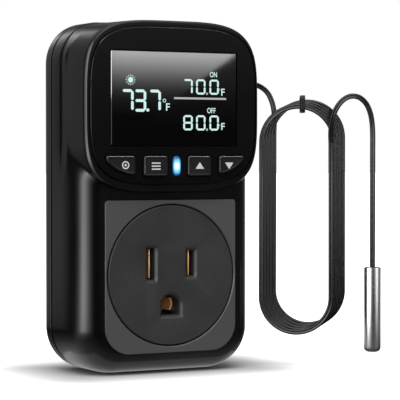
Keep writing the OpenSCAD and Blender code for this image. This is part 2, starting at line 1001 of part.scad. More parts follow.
film_w = 17.5;
film_size = 7;
film_h = snug * film_size;
film_d = 10.5;
film_x = 2.5;
film_rise = 33;
film_z = chin_height + tall * film_rise;
module film_capacitor() {
    color("#c9a227")
    slab(power_front, power_front + film_d)
        round_rect(film_x, film_z, film_w, film_h, window_corner_r);
}

can_size = 4;
can_r = snug * can_size;
can_len = 12;
can_x = 16;
can_rise = 18.5;
can_z = chin_height + tall * can_rise;
can_groove_at = 2.2;
can_groove = 0.4;
module electrolytic_capacitor() {
    color("#30343c")
    translate([can_x, -power_front, can_z])
        rotate([90, 0, 0])
            rotate_extrude()
                polygon([
                    [0, 0], [can_r - can_groove, 0], [can_r, can_groove],
                    [can_r, can_groove_at], [can_r - can_groove, can_groove_at + can_groove],
                    [can_r, can_groove_at + 2 * can_groove],
                    [can_r, can_len - can_groove], [can_r - can_groove, can_len], [0, can_len]
                ]);
}

disc_r = 4.5;
disc_size = 3.6;
disc_t = snug * disc_size;
disc_x = 4;
disc_up = 17.5;
disc_z = chin_height + tall * disc_up;
disc_rise = 1.2;
module varistor() {
    color("#2c6fb0")
    translate([disc_x, -power_front - disc_rise - disc_r, disc_z - disc_t / 2])
        cylinder(r = disc_r, h = disc_t);
    color("#b9bcc0")
    for (s = [-1, 1])
        slab(power_front, power_front + disc_rise + disc_r / 2)
            rect_at(disc_x + s * disc_r / 2, disc_z, mcu_lead_w, mcu_lead_w);
}

fuse_size = 2.5;
fuse_r = snug * fuse_size;
fuse_len = 20;
fuse_cap = 5;
fuse_x = 6;
fuse_up = 6.5;
fuse_z = chin_height + tall * fuse_up;
clip_t = 0.4;
fuse_rise = 1;
module fuse() {
    translate([fuse_x - fuse_len / 2, -power_front - fuse_rise - fuse_r, fuse_z])
        rotate([0, 90, 0]) {
            color("#c9cdd2")
            for (at = [0, fuse_len - fuse_cap])
                translate([0, 0, at])
                    cylinder(r = fuse_r, h = fuse_cap);
            color("#e6eef2")
            translate([0, 0, fuse_cap])
                cylinder(r = fuse_r - 2 * clearance, h = fuse_len - 2 * fuse_cap);
        }
}
module fuse_clips() {
    color("#b9bcc0")
    for (s = [-1, 1])
        translate([fuse_x + s * (fuse_len - fuse_cap) / 2 - clip_w / 2, 0, 0])
            rotate([90, 0, 90])
                linear_extrude(clip_w)
                    difference() {
                        translate([-power_front - fuse_rise - fuse_r - clip_reach, fuse_z - fuse_r - clip_t])
                            square([fuse_rise + fuse_r + clip_reach, 2 * fuse_r + 2 * clip_t]);
                        translate([-power_front - fuse_rise - fuse_r, fuse_z])
                            circle(fuse_r);
                        translate([-power_front - 2 * fuse_rise - 2 * fuse_r, fuse_z - fuse_r])
                            square([fuse_rise + fuse_r, 2 * fuse_r]);
                    }
}
clip_w = 3.6;
clip_reach = 1.4;

bridge_w = 8.4;
bridge_size = 6.4;
bridge_h = snug * bridge_size;
bridge_t = 2.6;
bridge_x = -13.2;
bridge_rise = 35.5;
bridge_z = chin_height + tall * bridge_rise;
module bridge_rectifier() {
    color("#232325")
    slab(power_front, power_front + bridge_t)
        difference() {
            round_rect(bridge_x, bridge_z, bridge_w, bridge_h, window_corner_r);
            translate([bridge_x - bridge_w / 2, bridge_z + bridge_h / 2])
                circle(4 * window_corner_r, $fn = 4);
        }
}

regulator_size = 2.4;
regulator_r = snug * regulator_size;
regulator_len = 4.6;
regulator_x = 13.5;
regulator_rise = 40.5;
regulator_z = chin_height + tall * regulator_rise;
module voltage_regulator() {
    color("#232325")
    slab(power_front, power_front + regulator_len)
        intersection() {
            translate([regulator_x, regulator_z])
                circle(regulator_r);
            rect_at(regulator_x, regulator_z + regulator_r / 4, 2 * regulator_r, 2 * regulator_r);
        }
}

header_pins = 6;
header_spacing = 2.54;
header_x = 1;
header_rise = 41.9;
header_z = chin_height + tall * header_rise;
header_size = 2.4;
header_t = snug * header_size;
header_pin_w = 0.64;
module board_header() {
    color("#1c1c1e")
    slab(power_front, power_front + header_t)
        rect_at(header_x, header_z, header_pins * header_spacing, header_t);
    color("#c8a955")
    for (i = [0:header_pins - 1])
        slab(power_front + header_t - seat_gap, control_back)
            rect_at(
                header_x + (i - (header_pins - 1) / 2) * header_spacing,
                header_z, header_pin_w, header_pin_w
            );
}

// Busbars on the power board
bar_w = 4;
bar_t = 0.6;
module busbar(points) {
    color("#c27a43")
    slab(power_front, power_front + bar_t)
        for (i = [0:len(points) - 2]) {
            a = points[i];
            b = points[i + 1];
            rect_at((a[0] + b[0]) / 2, (a[1] + b[1]) / 2, abs(a[0] - b[0]) + bar_w, abs(a[1] - b[1]) + bar_w);
        }
}
bar_x = 12.2;
module neutral_busbar() {
    busbar([[-bar_x, -blade_spacing / 2], [-bar_x, relay_z - relay_h]]);
}
module line_busbar() {
    busbar([[bar_x, -blade_spacing / 2], [bar_x, fuse_z - fuse_r - bar_w]]);
}

// Probe wiring inside the case
connector_w = 7;
connector_size = 5;
connector_h = snug * connector_size;
connector_d = 5.6;
connector_x = 15.6;
connector_z = gland_z;
module probe_connector() {
    color("#e7e4da")
    difference() {
        slab(control_back - connector_d, control_back)
            round_rect(connector_x, connector_z, connector_w, connector_h, window_corner_r);
        slab(control_back - connector_d - over, control_back - connector_d + over)
            rect_at(connector_x, connector_z, connector_w - 2 * over, connector_h - 2 * over);
    }
}

// Cable gland in the right side wall
gland_depth = 9.4;
gland_w = 3.4;
gland_h = 4.6;
gland_flange = 0.8;
gland_reach = 3.4;
gland_taper = 0.5;
module gland_hole() {
    translate([body_w / 2 - 2 * wall, -gland_depth - gland_w / 2, gland_z - gland_h / 2])
        cube([4 * wall, gland_w, gland_h]);
}
module cable_grommet() {
    inner = body_w / 2 - wall;
    outer = body_w / 2;
    color("#141416")
    difference() {
        union() {
            translate([inner - gland_flange, -gland_depth - gland_w / 2 - gland_flange, gland_z - gland_h / 2 - gland_flange])
                cube([gland_flange, gland_w + 2 * gland_flange, gland_h + 2 * gland_flange]);
            translate([inner - seat_gap, -gland_depth - gland_w / 2 + seat_gap, gland_z - gland_h / 2 + seat_gap])
                cube([outer - inner + seat_gap, gland_w - 2 * seat_gap, gland_h - 2 * seat_gap]);
            translate([outer, 0, 0])
                for (i = [0:2])
                    translate([i * gland_reach / 3, 0, 0])
                        gland_collar(gland_reach / 3 + seat_gap, i * gland_taper / 2);
        }
        translate([inner - 2 * gland_flange, -gland_depth - cable_t / 2 - seat_gap, gland_z - gland_spread])
            cube([2 * gland_flange + outer - inner + gland_reach + over, cable_t + 2 * seat_gap, 2 * gland_spread]);
    }
}
gland_spread = 1.1;
module gland_collar(len, inset) {
    translate([0, -gland_depth, gland_z])
        rotate([90, 0, 90])
            linear_extrude(len)
                round_rect(0, 0, gland_w - 2 * inset, gland_h - 2 * inset, gland_w / 2 - inset - seat_gap);
}

// Two cores of the probe cable, through the gland to the connector
lead_r = 0.45;
module probe_leads() {
    run_depth = control_back - connector_d;
    color("#8c1d1d")
    for (s = [-1, 1])
        translate([0, 0, gland_z + s * gland_spread / 2]) {
            translate([connector_x + s * gland_spread, -run_depth, 0])
                rotate([-90, 0, 0])
                    cylinder(r = lead_r, h = run_depth - gland_depth + lead_r);
            translate([connector_x + s * gland_spread - lead_r, -gland_depth, 0])
                rotate([0, 90, 0])
                    cylinder(r = lead_r, h = body_w / 2 + gland_reach - connector_x - s * gland_spread + lead_r);
        }
}

// Probe cable: a flat twin cord that hangs beside the case in a hank.
// Route points are [to the right, backwards, up] in the hank's own upright plane.
hank_turn = 28;
hank_origin = [9.2, -28];
function hang(p) = [
    hank_origin[0] + p[0] * cos(hank_turn) + p[1] * sin(hank_turn),
    hank_origin[1] - p[0] * sin(hank_turn) + p[1] * cos(hank_turn),
    p[2] + gland_z - lead_start_z
];
lead_start_z = 52.5;
hank_start = [22.1, 20, 36.8];
HANK_RINGS = 110;
LOOP_RINGS = 24;
ARC_RINGS = 10;

LEAD_ROUTE = [
    [11, 26.8, 52.5], [12.5, 27.6, 52.5], [14.3, 28.4, 52.6], [16, 28.9, 52.6],
    [17.7, 28.6, 52.2], [19.3, 27.5, 51.2], [20.6, 25.9, 49.7], [21.5, 24.2, 47.7],
    [22.1, 22.7, 45.3], [22.3, 21.5, 42.8], [22.25, 20.6, 40.6], [22.15, 20.1, 38.9],
    [22.1, 20, 36.9]
];
TAIL_ROUTE = [
    [38.75, 13.6, 34.8], [38.65, 13.35, 37.3], [38.8, 12.9, 40], [39.35, 12.5, 42.8],
    [40.5, 12.2, 45.4], [42.35, 12, 47.5], [44.6, 12, 48.5], [47, 12.2, 48.1],
    [49, 12.5, 46.3], [50.2, 12.7, 43.7], [50.8, 12.9, 40.6], [51, 13, 37],
    [51, 13, 33], [51, 13, 28], [51, 13, 23], [51, 13, 18],
    [51, 13, 13], [51, 13, 8], [51, 13, 3], [51, 13, -1.9]
];
probe_at = [51, 13];
probe_top = -2;

// Point of the hank at ring i: down the left run, round the bottom, up the right run, over the top
function hank_point(i) =
    let (
        k = i % LOOP_RINGS,
        drift = i / LOOP_RINGS,
        half = hank_run / 2,
        up = k >= ARC_RINGS + 4,
        a = up ? (k - ARC_RINGS - 4) * 180 / ARC_RINGS : 180 + (k - 2) * 180 / ARC_RINGS,
        on_left = k < 2,
        on_right = k > ARC_RINGS + 2 && k < ARC_RINGS + 4,
        side = on_left ? -hank_r : on_right ? hank_r : hank_r * cos(a),
        rise = on_left ? half - k * half : on_right ? 0 : (up ? half : -half) + hank_r * sin(a)
    )
    [
        hank_start[0] + hank_r + side - loop_shift * drift,
        hank_start[1] - loop_depth * drift,
        hank_start[2] - half + rise - loop_drop * drift
    ];
HANK_ROUTE = [for (i = [0:HANK_RINGS]) hank_point(i)];

function unit(v) = v / norm(v);
function along(path, i) = unit(path[min(i + 1, len(path) - 1)] - path[max(i - 1, 0)]);
backwards = [sin(hank_turn), cos(hank_turn), 0];

// Ring of points round a route point, wide side in the hank's plane
function cord_ring(path, i, sides) =
    let (
        t = along(path, i),
        across = unit(cross(t, backwards)),
        through = cross(across, t)
    )
    [for (j = [0:sides - 1])
        let (a = 360 * (j + 0.5) / sides)
        path[i] + across * cable_w / 2 * cos(a) / cos(180 / sides) + through * cable_t / 2 * sin(a) / cos(180 / sides)];

module cord(route, sides) {
    path = [for (p = route) hang(p)];
    n = sides;
    last = len(path) - 1;
    points = [for (i = [0:last]) each cord_ring(path, i, sides)];
    sides_faces = [for (k = [0:last - 1]) for (j = [0:n - 1])
        let (a = k * n + j, b = k * n + (j + 1) % n)
        each [[a, b, b + n], [a, b + n, a + n]]];
    first_cap = [for (j = [1:n - 2]) [0, j + 1, j]];
    last_cap = [for (j = [1:n - 2]) [last * n, last * n + j, last * n + j + 1]];
    color("#17171a")
    polyhedron(points, concat(sides_faces, first_cap, last_cap), convexity = 12);
}

module probe_cable_lead() {
    cord(LEAD_ROUTE, 8);
}
module probe_cable_hank() {
    cord(HANK_ROUTE, 6);
}
module probe_cable_tail() {
    cord(TAIL_ROUTE, 8);
}

// Least distance between the points of a turn and of the next one
HANK_PATH = [for (p = HANK_ROUTE) hang(p)];
HANK_POINTS = [for (i = [0:HANK_RINGS]) cord_ring(HANK_PATH, i, 6)];
turn_gaps = [
    for (i = [0:HANK_RINGS - LOOP_RINGS]) for (j = [-2:2])
        if (i + j + LOOP_RINGS <= HANK_RINGS)
            for (p = HANK_POINTS[i]) for (q = HANK_POINTS[i + j + LOOP_RINGS]) norm(p - q)
];
echo(least_gap_between_turns = min(turn_gaps));

tie_w = 2.2;
tie_t = 0.6;
tie_gap = 0.5;
module cable_tie() {
    first = hank_point(ARC_RINGS + 4 + ARC_RINGS / 2);
    final = hank_point(ARC_RINGS + 4 + ARC_RINGS / 2 + 3 * LOOP_RINGS);
    mid = (first + final) / 2;
    inner_back = (first[1] - final[1]) + cable_t + 2 * tie_gap;
    inner_up = (first[2] - final[2]) + cable_w + 2 * tie_gap;
    color("#101012")
    translate(hang(mid))
        rotate([0, 0, -hank_turn])
            rotate([90, 0, 90])
                translate([0, 0, -tie_w / 2])
                    linear_extrude(tie_w)
                        difference() {
                            round_rect(0, 0, inner_back + 2 * tie_t, inner_up + 2 * tie_t, 2 * tie_t);
                            round_rect(0, 0, inner_back, inner_up, tie_t);
                        }
}

// Probe
probe_wall = 0.4;
probe_edge = 0.5;
potting_share = 0.78;
bead_r = 1.3;
module at_probe() {
    translate(hang([probe_at[0], probe_at[1], probe_top]))
        mirror([0, 0, 1])
            children();
}
module probe_tube() {
    color("#b8bcc0")
    at_probe()
        rotate_extrude()
            polygon([
                [probe_d / 2 - probe_wall, 0], [probe_d / 2, 0],
                [probe_d / 2, probe_len - probe_edge], [probe_d / 2 - probe_edge, probe_len],
                [0, probe_len], [0, probe_len - probe_wall],
                [probe_d / 2 - probe_wall, probe_len - probe_wall]
            ]);
}
module probe_potting() {
    color("#202022")
    at_probe()
        cylinder(r = probe_d / 2 - probe_wall - seat_gap, h = probe_len * potting_share);
}
module thermistor_bead() {
    color("#3b3020")
    at_probe()
        translate([0, 0, probe_len * potting_share])
            cylinder(r1 = bead_r, r2 = bead_r / 2, h = probe_len * (1 - potting_share) - probe_wall - seat_gap);
}

rear_shell();
front_shell();
front_panel();
display_window();
socket_plate();
socket_insert();
neutral_contact();
line_contact();
ground_contact();
blade_carrier();
neutral_blade();
line_blade();
ground_pin();
lcd_glass();
lcd_frame();
backlight_panel();
zebra_strips();
control_board();
microcontroller();
set_button();
function_button();
up_button();
down_button();
switch_bases();
set_switch_plunger();
function_switch_plunger();
up_switch_plunger();
down_switch_plunger();
light_pipe();
indicator_led();
board_screws();
power_board();
relay();
film_capacitor();
electrolytic_capacitor();
varistor();
fuse();
fuse_clips();
bridge_rectifier();
voltage_regulator();
board_header();
neutral_busbar();
line_busbar();
probe_connector();
probe_leads();
cable_grommet();
housing_screws();
probe_cable_lead();
probe_cable_hank();
probe_cable_tail();
cable_tie();
probe_tube();
probe_potting();
thermistor_bead();
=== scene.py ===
import math
from functools import partial

import bmesh
import bpy
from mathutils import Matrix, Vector


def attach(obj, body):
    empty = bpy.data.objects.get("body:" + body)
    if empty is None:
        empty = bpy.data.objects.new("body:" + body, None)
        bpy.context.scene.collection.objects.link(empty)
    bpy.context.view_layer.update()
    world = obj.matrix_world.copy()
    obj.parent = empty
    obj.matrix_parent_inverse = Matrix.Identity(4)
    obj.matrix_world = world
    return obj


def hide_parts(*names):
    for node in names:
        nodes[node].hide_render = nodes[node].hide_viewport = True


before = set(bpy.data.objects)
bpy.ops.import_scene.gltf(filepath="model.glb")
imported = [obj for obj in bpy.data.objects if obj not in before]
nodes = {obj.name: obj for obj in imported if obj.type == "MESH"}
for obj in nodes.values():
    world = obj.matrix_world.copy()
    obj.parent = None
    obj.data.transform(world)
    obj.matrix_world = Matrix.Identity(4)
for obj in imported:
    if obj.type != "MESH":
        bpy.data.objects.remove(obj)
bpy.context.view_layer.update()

# Rear shell
# The rear half of the case: black flame-retardant ABS with a fine spark-eroded grain,
# moulded in one piece with its screw posts and the pocket for the plug's carrier. Its
# edge on the wall side is rounded, and four screws hold it.

mm = 0.001
case_width, case_height, case_centre = 56.0, 101.0, (0.0, 19.0)
case_bottom = case_centre[1] - case_height / 2
top_corner, bottom_corner = 12.0, 13.0
wall = 2.0
seam_at, seam_groove, seam_wall, seam_lip, seam_depth = 6.2, 0.6, 0.5, 0.1, 1.1
rear_rounding, rear_floor = 3.0, 2.2


def box_edge(x0, z0, width, height, radius=0.02, low_radius=None, grow=0.0):
    """Signed distance to a rectangle with rounded corners, grown on every side."""
    top = radius + grow
    low = top if low_radius is None else low_radius + grow

    def edge(x, z):
        corner = top if z > z0 else low
        across = abs(x - x0) - width / 2 - grow + corner
        up = abs(z - z0) - height / 2 - grow + corner
        return math.hypot(max(across, 0.0), max(up, 0.0)) + min(max(across, up), 0.0) - corner
    return edge


def reach(edge, centre, angle, inset=0.0, limit=90.0):
    """How far from the centre the edge lies in one direction, drawn in by the inset."""
    near, far = 0.0, limit
    c, s = math.cos(angle), math.sin(angle)
    for _ in range(34):
        middle = (near + far) / 2
        if edge(centre[0] + middle * c, centre[1] + middle * s) + inset < 0:
            near = middle
        else:
            far = middle
    return (near + far) / 2


def traced(plan, inset=0.0):
    """A plan's outline as points across and up, one for each of its directions."""
    edge, centre, angles = plan
    rays = [reach(edge, centre, a, inset) for a in angles]
    return [(centre[0] + r * math.cos(a), centre[1] + r * math.sin(a)) for r, a in zip(rays, angles)]


def spread_angles(edge, centre, count, corner_share=0.6):
    """Directions that share the outline out evenly, closer together where it turns."""
    fine = 1440
    angles = [2 * math.pi * (i + 0.5) / fine for i in range(fine)]
    outline = traced((edge, centre, angles))
    ways = [(q[0] - p[0], q[1] - p[1]) for p, q in zip(outline, outline[1:] + outline[:1])]
    steps = [math.hypot(*way) for way in ways]
    headings = [math.atan2(up, across) for across, up in ways]
    turns = [
        abs((after - before + math.pi) % (2 * math.pi) - math.pi)
        for before, after in zip(headings, headings[1:] + headings[:1])
    ]
    length, turning = sum(steps), sum(turns)
    weights = [(1 - corner_share) * s / length + corner_share * t / turning for s, t in zip(steps, turns)]
    chosen, passed, at = [], 0.0, 0
    for k in range(count):
        goal = k / count
        while at < fine - 1 and passed + weights[at] < goal:
            passed += weights[at]
            at += 1
        share = min(1.0, max(0.0, (goal - passed) / max(weights[at], 1e-12)))
        chosen.append(angles[at] + share * 2 * math.pi / fine)
    return chosen


def plan_of(edge, centre, count, corner_share=0.6):
    """An outline to build on: its edge, its centre, and the directions it is traced in."""
    return edge, centre, spread_angles(edge, centre, count, corner_share)


def at_depth(outline, out):
    """An outline set at a depth out from the wall, in millimetres."""
    return [(x, out, z) for x, z in outline]


def shown(name, data):
    """A new object in the scene."""
    piece = bpy.data.objects.new(name, data)
    bpy.context.scene.collection.objects.link(piece)
    return piece


def settled(piece, crease=30.0):
    """Merges doubles, turns faces outward and keeps edges sharper than the crease."""
    shape = bmesh.new()
    shape.from_mesh(piece.data)
    bmesh.ops.remove_doubles(shape, verts=shape.verts, dist=2e-7)
    bmesh.ops.recalc_face_normals(shape, faces=shape.faces)
    for face in shape.faces:
        face.smooth = True
    shape.to_mesh(piece.data)
    shape.free()
    piece.data.set_sharp_from_angle(angle=math.radians(crease))
    return piece


def in_frame(points):
    """Points across, out from the wall and up in millimetres, as the frame's metres."""
    return [(x * mm, -out * mm, z * mm) for x, out, z in points]


def skinned(name, rings, crease=30.0, loop=False):
    """A skin over rings of equal count, filled at both ends or joined into a loop."""
    count = len(rings[0])
    faces = []
    for k in range(len(rings) if loop else len(rings) - 1):
        low, high = k * count, ((k + 1) % len(rings)) * count
        for j in range(count):
            after = (j + 1) % count
            faces.append((low + j, low + after, high + after, high + j))
    if not loop:
        faces.append(tuple(reversed(range(count))))
        faces.append(tuple(range((len(rings) - 1) * count, len(rings) * count)))
    mesh = bpy.data.meshes.new(name)
    mesh.from_pydata(in_frame([p for ring in rings for p in ring]), [], faces)
    return settled(shown(name, mesh), crease)


def profiled(name, plan, profile, crease=30.0):
    """A skin over one plan, drawn in and set out as its profile of (inset, out) says."""
    return skinned(name, [at_depth(traced(plan, inset), out) for inset, out in profile], crease)


def quarter_turn(steps):
    """Cosine and sine at even steps from 0 to 90 degrees."""
    turns = [math.radians(90 * i / steps) for i in range(steps + 1)]
    return [(math.cos(turn), math.sin(turn)) for turn in turns]


def circle(x, z, radius, sides):
    turns = [2 * math.pi * j / sides for j in range(sides)]
    return [(x + radius * math.cos(turn), z + radius * math.sin(turn)) for turn in turns]


def turned(name, x, z, profile, sides=96, loop=False):
    """A round piece from its profile of (radius, out from the wall), back to front."""
    return skinned(name, [at_depth(circle(x, z, radius, sides), out) for radius, out in profile], loop=loop)


def rod(name, x, z, radius, back, front, sides=48):
    return turned(name, x, z, [(radius, back), (radius, front)], sides)


def plain_mesh(piece, crease=30.0):
    """Turns a piece with live modifiers into a plain mesh."""
    bpy.context.view_layer.update()
    graph = bpy.context.evaluated_depsgraph_get()
    result = bpy.data.meshes.new_from_object(piece.evaluated_get(graph))
    old = piece.data
    piece.modifiers.clear()
    piece.data = result
    bpy.data.meshes.remove(old)
    return settled(piece, crease)


def worked(piece, tools, operation="DIFFERENCE", crease=30.0):
    """Cuts the tools out of a piece, or welds them on, and takes the tools away."""
    for tool in tools:
        step = piece.modifiers.new("work", "BOOLEAN")
        step.operation = operation
        step.solver = "MANIFOLD"
        step.object = tool
    plain_mesh(piece, crease)
    for tool in tools:
        bpy.data.meshes.remove(tool.data)
    return piece


def feed(tree, socket, value):
    """Gives an input its value, or joins it to another node's output."""
    if isinstance(value, bpy.types.NodeSocket):
        tree.links.new(value, socket)
    else:
        socket.default_value = value


def node_in(tree, kind, settings=None, **inputs):
    """A node with its own settings; its inputs are named with _ for a space."""
    node = tree.nodes.new(kind)
    for title, value in (settings or {}).items():
        setattr(node, title, value)
    for title, value in inputs.items():
        feed(tree, node.inputs[title.replace("_", " ")], value)
    return node


def arithmetic(tree, operation, *terms):
    node = node_in(tree, "ShaderNodeMath", {"operation": operation})
    for socket, value in zip(node.inputs, terms):
        feed(tree, socket, value)
    return node.outputs[0]


def ranged(tree, value, start, end=(0.0, 1.0), way="LINEAR"):
    """Takes a value from one span to another."""
    node = node_in(tree, "ShaderNodeMapRange", {"interpolation_type": way}, Value=value,
                   From_Min=start[0], From_Max=start[1], To_Min=end[0], To_Max=end[1])
    return node.outputs["Result"]


def new_tree(title, kind, inputs, outputs):
    """A node group with its named inputs and outputs of (name, type of socket, value)."""
    tree = bpy.data.node_groups.new(title, kind)
    for way, sockets in (("INPUT", inputs), ("OUTPUT", outputs)):
        for name, sort, value in sockets:
            socket = tree.interface.new_socket(name, in_out=way, socket_type="NodeSocket" + sort)
            if value is not None:
                socket.default_value = value
    return tree, tree.nodes.new("NodeGroupInput").outputs, tree.nodes.new("NodeGroupOutput").inputs


surface_marks, asked, answer = new_tree("Surface marks", "ShaderNodeTree", [
    ("Place", "Vector", None), ("Grains per metre", "Float", 6000.0), ("Patches per metre", "Float", 60.0),
], [("Grain", "Float", None), ("Patches", "Float", None)])
for title, size, detail in (("Grain", "Grains per metre", 3.0), ("Patches", "Patches per metre", 5.0)):
    noise = node_in(surface_marks, "ShaderNodeTexNoise",
                    Vector=asked["Place"], Scale=asked[size], Detail=detail)
    surface_marks.links.new(noise.outputs["Fac"], answer[title])


def blank_finish(name, **inputs):
    """A new material: itself, its node tree, its shader and the piece's own coordinates."""
    material = bpy.data.materials.new(name)
    material.use_nodes = True
    tree = material.node_tree
    shader = tree.nodes["Principled BSDF"]
    for title, value in inputs.items():
        shader.inputs[title.replace("_", " ")].default_value = value
    return material, tree, shader, tree.nodes.new("ShaderNodeTexCoord").outputs["Object"]


def marks_at(tree, place, grains, patches):
    marks = node_in(tree, "ShaderNodeGroup", {"node_tree": surface_marks}, Place=place,
                    Grains_per_metre=grains, Patches_per_metre=patches)
    return marks.outputs["Grain"], marks.outputs["Patches"]


def toned(tree, socket, share, dark, light):
    """Feeds a colour between two, by a share."""
    mix = node_in(tree, "ShaderNodeMix", {"data_type": "RGBA"}, Factor=share, A=(*dark, 1.0), B=(*light, 1.0))
    tree.links.new(mix.outputs["Result"], socket)


def relieved(tree, shader, height, distance):
    bump = node_in(tree, "ShaderNodeBump", Height=height, Distance=distance, Strength=1.0)
    tree.links.new(bump.outputs["Normal"], shader.inputs["Normal"])


def marked_finish(name, dark, light, rough, grains, relief, patches, metal=0.0, specular=0.5, coat=0.0,
                  coat_rough=0.1):
    """A solid finish whose tone, gloss and relief vary with its grain and its patches."""
    material, tree, shader, place = blank_finish(
        name, Metallic=metal, Specular_IOR_Level=specular, Coat_Weight=coat, Coat_Roughness=coat_rough)
    grain, patch = marks_at(tree, place, grains, patches)
    share = ranged(tree, arithmetic(tree, "MULTIPLY", grain, patch), (0.12, 0.42))
    toned(tree, shader.inputs["Base Color"], share, dark, light)
    feed(tree, shader.inputs["Roughness"], ranged(tree, patch, (0.3, 0.7), rough))
    relieved(tree, shader, grain, relief * mm)
    return material


def finished(piece, finish):
    """Gives a piece its one finish."""
    piece.data.materials.clear()
    piece.data.materials.append(finish)
    for face in piece.data.polygons:
        face.material_index = 0


def dressed(piece, finish, slot, *replaced, body="housing"):
    """Gives a piece its finish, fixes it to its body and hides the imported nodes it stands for."""
    finished(piece, finish)
    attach(piece, body)
    if replaced:
        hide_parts(*replaced)
    return piece


case_black = marked_finish("Shell black, fine spark grain", (0.0022, 0.0022, 0.0024),
                           (0.0042, 0.0042, 0.0045), (0.16, 0.21), 4200.0, 0.004, 45.0, specular=0.32)
case_edge = box_edge(*case_centre, case_width, case_height, top_corner, bottom_corner)
case_plan = plan_of(case_edge, case_centre, 240, 0.55)
rear_shell = profiled("rear_case_half", case_plan, [
    (rear_rounding * (1 - s), rear_rounding * (1 - c)) for c, s in quarter_turn(8)
] + [
    (0.0, seam_at - seam_groove), (seam_lip, seam_at - seam_wall), (seam_depth, seam_at - seam_wall),
    (seam_depth, seam_at),
])
post_places = [(21.8, 63.3), (-21.8, 63.3), (19.0, -22.5), (-19.0, -22.5)]
board_post_places = [(19.3, 52.0), (-19.3, 52.0), (19.3, -12.0), (-19.3, -12.0)]
post_radius, board_post_radius, board_post_top = 2.8, 2.1, 5.4
pocket_inset = wall + 0.25
worked(rear_shell, [
    profiled("rear_pocket", case_plan, [(pocket_inset, rear_floor), (pocket_inset, seam_at + 0.5)])
])
worked(rear_shell, [
    rod("rear_post", x, z, post_radius, rear_floor - 0.2, seam_at) for x, z in post_places
] + [
    rod("rear_board_post", x, z, board_post_radius, rear_floor - 0.2, board_post_top)
    for x, z in board_post_places
], "UNION")
carrier_centre, carrier_size, carrier_corner = (0, -4.2), (24.0, 26.0), 3.0
carrier_gap, screw_seat = 0.15, 1.35
carrier_angles = spread_angles(box_edge(*carrier_centre, *carrier_size, carrier_corner), carrier_centre, 96)
carrier_hole = box_edge(*carrier_centre, *(size + 2 * carrier_gap for size in carrier_size), carrier_corner)
worked(rear_shell, [
    profiled("carrier_hole", (carrier_hole, carrier_centre, carrier_angles), [(0.0, -1.0), (0.0, 3.0)])
] + [
    tool for x, z in post_places for tool in (
        rod("screw_way", x, z, 1.45, -1.0, 7.0, 32), rod("screw_seat", x, z, 2.65, -1.0, screw_seat))
] + [rod("board_screw_way", x, z, 0.8, rear_floor + 0.4, 6.0, 24) for x, z in board_post_places])
dressed(rear_shell, case_black, "case_black", "rear_shell")

# Front shell
# The front half of the case, in the same black ABS: a band, a wide rounding that runs
# up into the raised head, the rim round the panel, and the recess for the outlet
# plate. Outer skin first, then the hollow, the posts and the openings.

band_at, shell_front, face_at, panel_back = 12.5, 27.6, 30.0, 28.0
rounding_in, rounding_out = 8.5, shell_front - band_at
ridge = 0.25
head_half_w, head_right_w, head_half_h, head_mid = 27.9, 27.45, 24.45, 44.95
head_centre, head_hollow_half = (0, head_mid), (25.9, 22.45)
panel_mid = 45.16
ray_centre = (0.0, 40.0)
ray_angles = spread_angles(case_edge, ray_centre, 360, 0.35)
depths = sorted(
    [band_at + rounding_out * math.sin(math.radians(90 * i / 34)) for i in range(35)]
    + [band_at + rounding_out * (i + 0.5) / 26 for i in range(25)]
)


def squircle_edge(half_w, half_h, mid, squareness, right_w=None):
    """Edge of the head, a soft square; the value is near to a distance in millimetres."""
    def edge(x, z):
        away = math.hypot(x, z - mid)
        half = right_w if right_w and x > 0 else half_w
        grown = (abs(x / half) ** squareness + abs((z - mid) / half_h) ** squareness) ** (1 / squareness)
        return away * (1 - 1 / grown) if grown > 1e-6 else -min(half_w, half_h)
    return edge


def softened(share):
    """A share from 0 to 1 that starts and ends gently."""
    share = min(1.0, max(0.0, share))
    return share * share * (3 - 2 * share)


def upper_share(angle):
    """0 for directions down the body, 1 for those to the head."""
    return softened((math.sin(angle) + 0.5) / 0.36)


def ridge_at(out, angle):
    """The low step between the band and the head's flank, drawn out softly."""
    return ridge * softened((out - band_at + 0.5) / 1.8) * upper_share(angle)


def rounding_inset(out, angle):
    """How far the rounding is drawn in; it is slack behind the head."""
    up = min(1.0, max(0.0, (out - band_at) / rounding_out))
    top = upper_share(angle)
    power = 3 - top
    drawn = rounding_in * (1 - max(0.0, 1 - up ** power) ** (1 / power))
    return ridge_at(out, angle) + drawn * (1 + 2.5 * top) + 3 * up * top


def case_rays(inset_at):
    """The case's edge drawn in by a function of the direction."""
    return [reach(case_edge, ray_centre, a, inset_at(a)) for a in ray_angles]


def head_rays(out, inset=0.0):
    """The head's edge at a depth, squarer at its root than at its face, or drawn in at the rim."""
    squareness = 4.0 if inset else 5.2 - 1.2 * min(1.0, max(0.0, (out - 12.0) / 16.9))
    edge = squircle_edge(head_half_w - inset, head_half_h - inset, head_mid, squareness,
                         head_right_w - 0.76 * inset)
    return [reach(edge, ray_centre, a) for a in ray_angles]


def ring_of(rays, out):
    return [(ray_centre[0] + r * math.cos(a), out, ray_centre[1] + r * math.sin(a))
            for r, a in zip(rays, ray_angles)]


def groove_inset(angle):
    """Width of the groove round the panel, narrower on the right."""
    return 0.45 - 0.25 * max(0.0, math.cos(angle)) ** 2


front_rings = [ring_of(case_rays(lambda angle: inset), out) for out, inset in (
    (seam_at, seam_depth), (seam_at + seam_wall, seam_depth), (seam_at + seam_wall, seam_lip),
    (seam_at + seam_groove, 0.0), (band_at - 0.5, 0.0),
)]
for out in (band_at - 0.2, band_at + 0.1):
    front_rings.append(ring_of(case_rays(lambda angle: ridge_at(out, angle)), out))
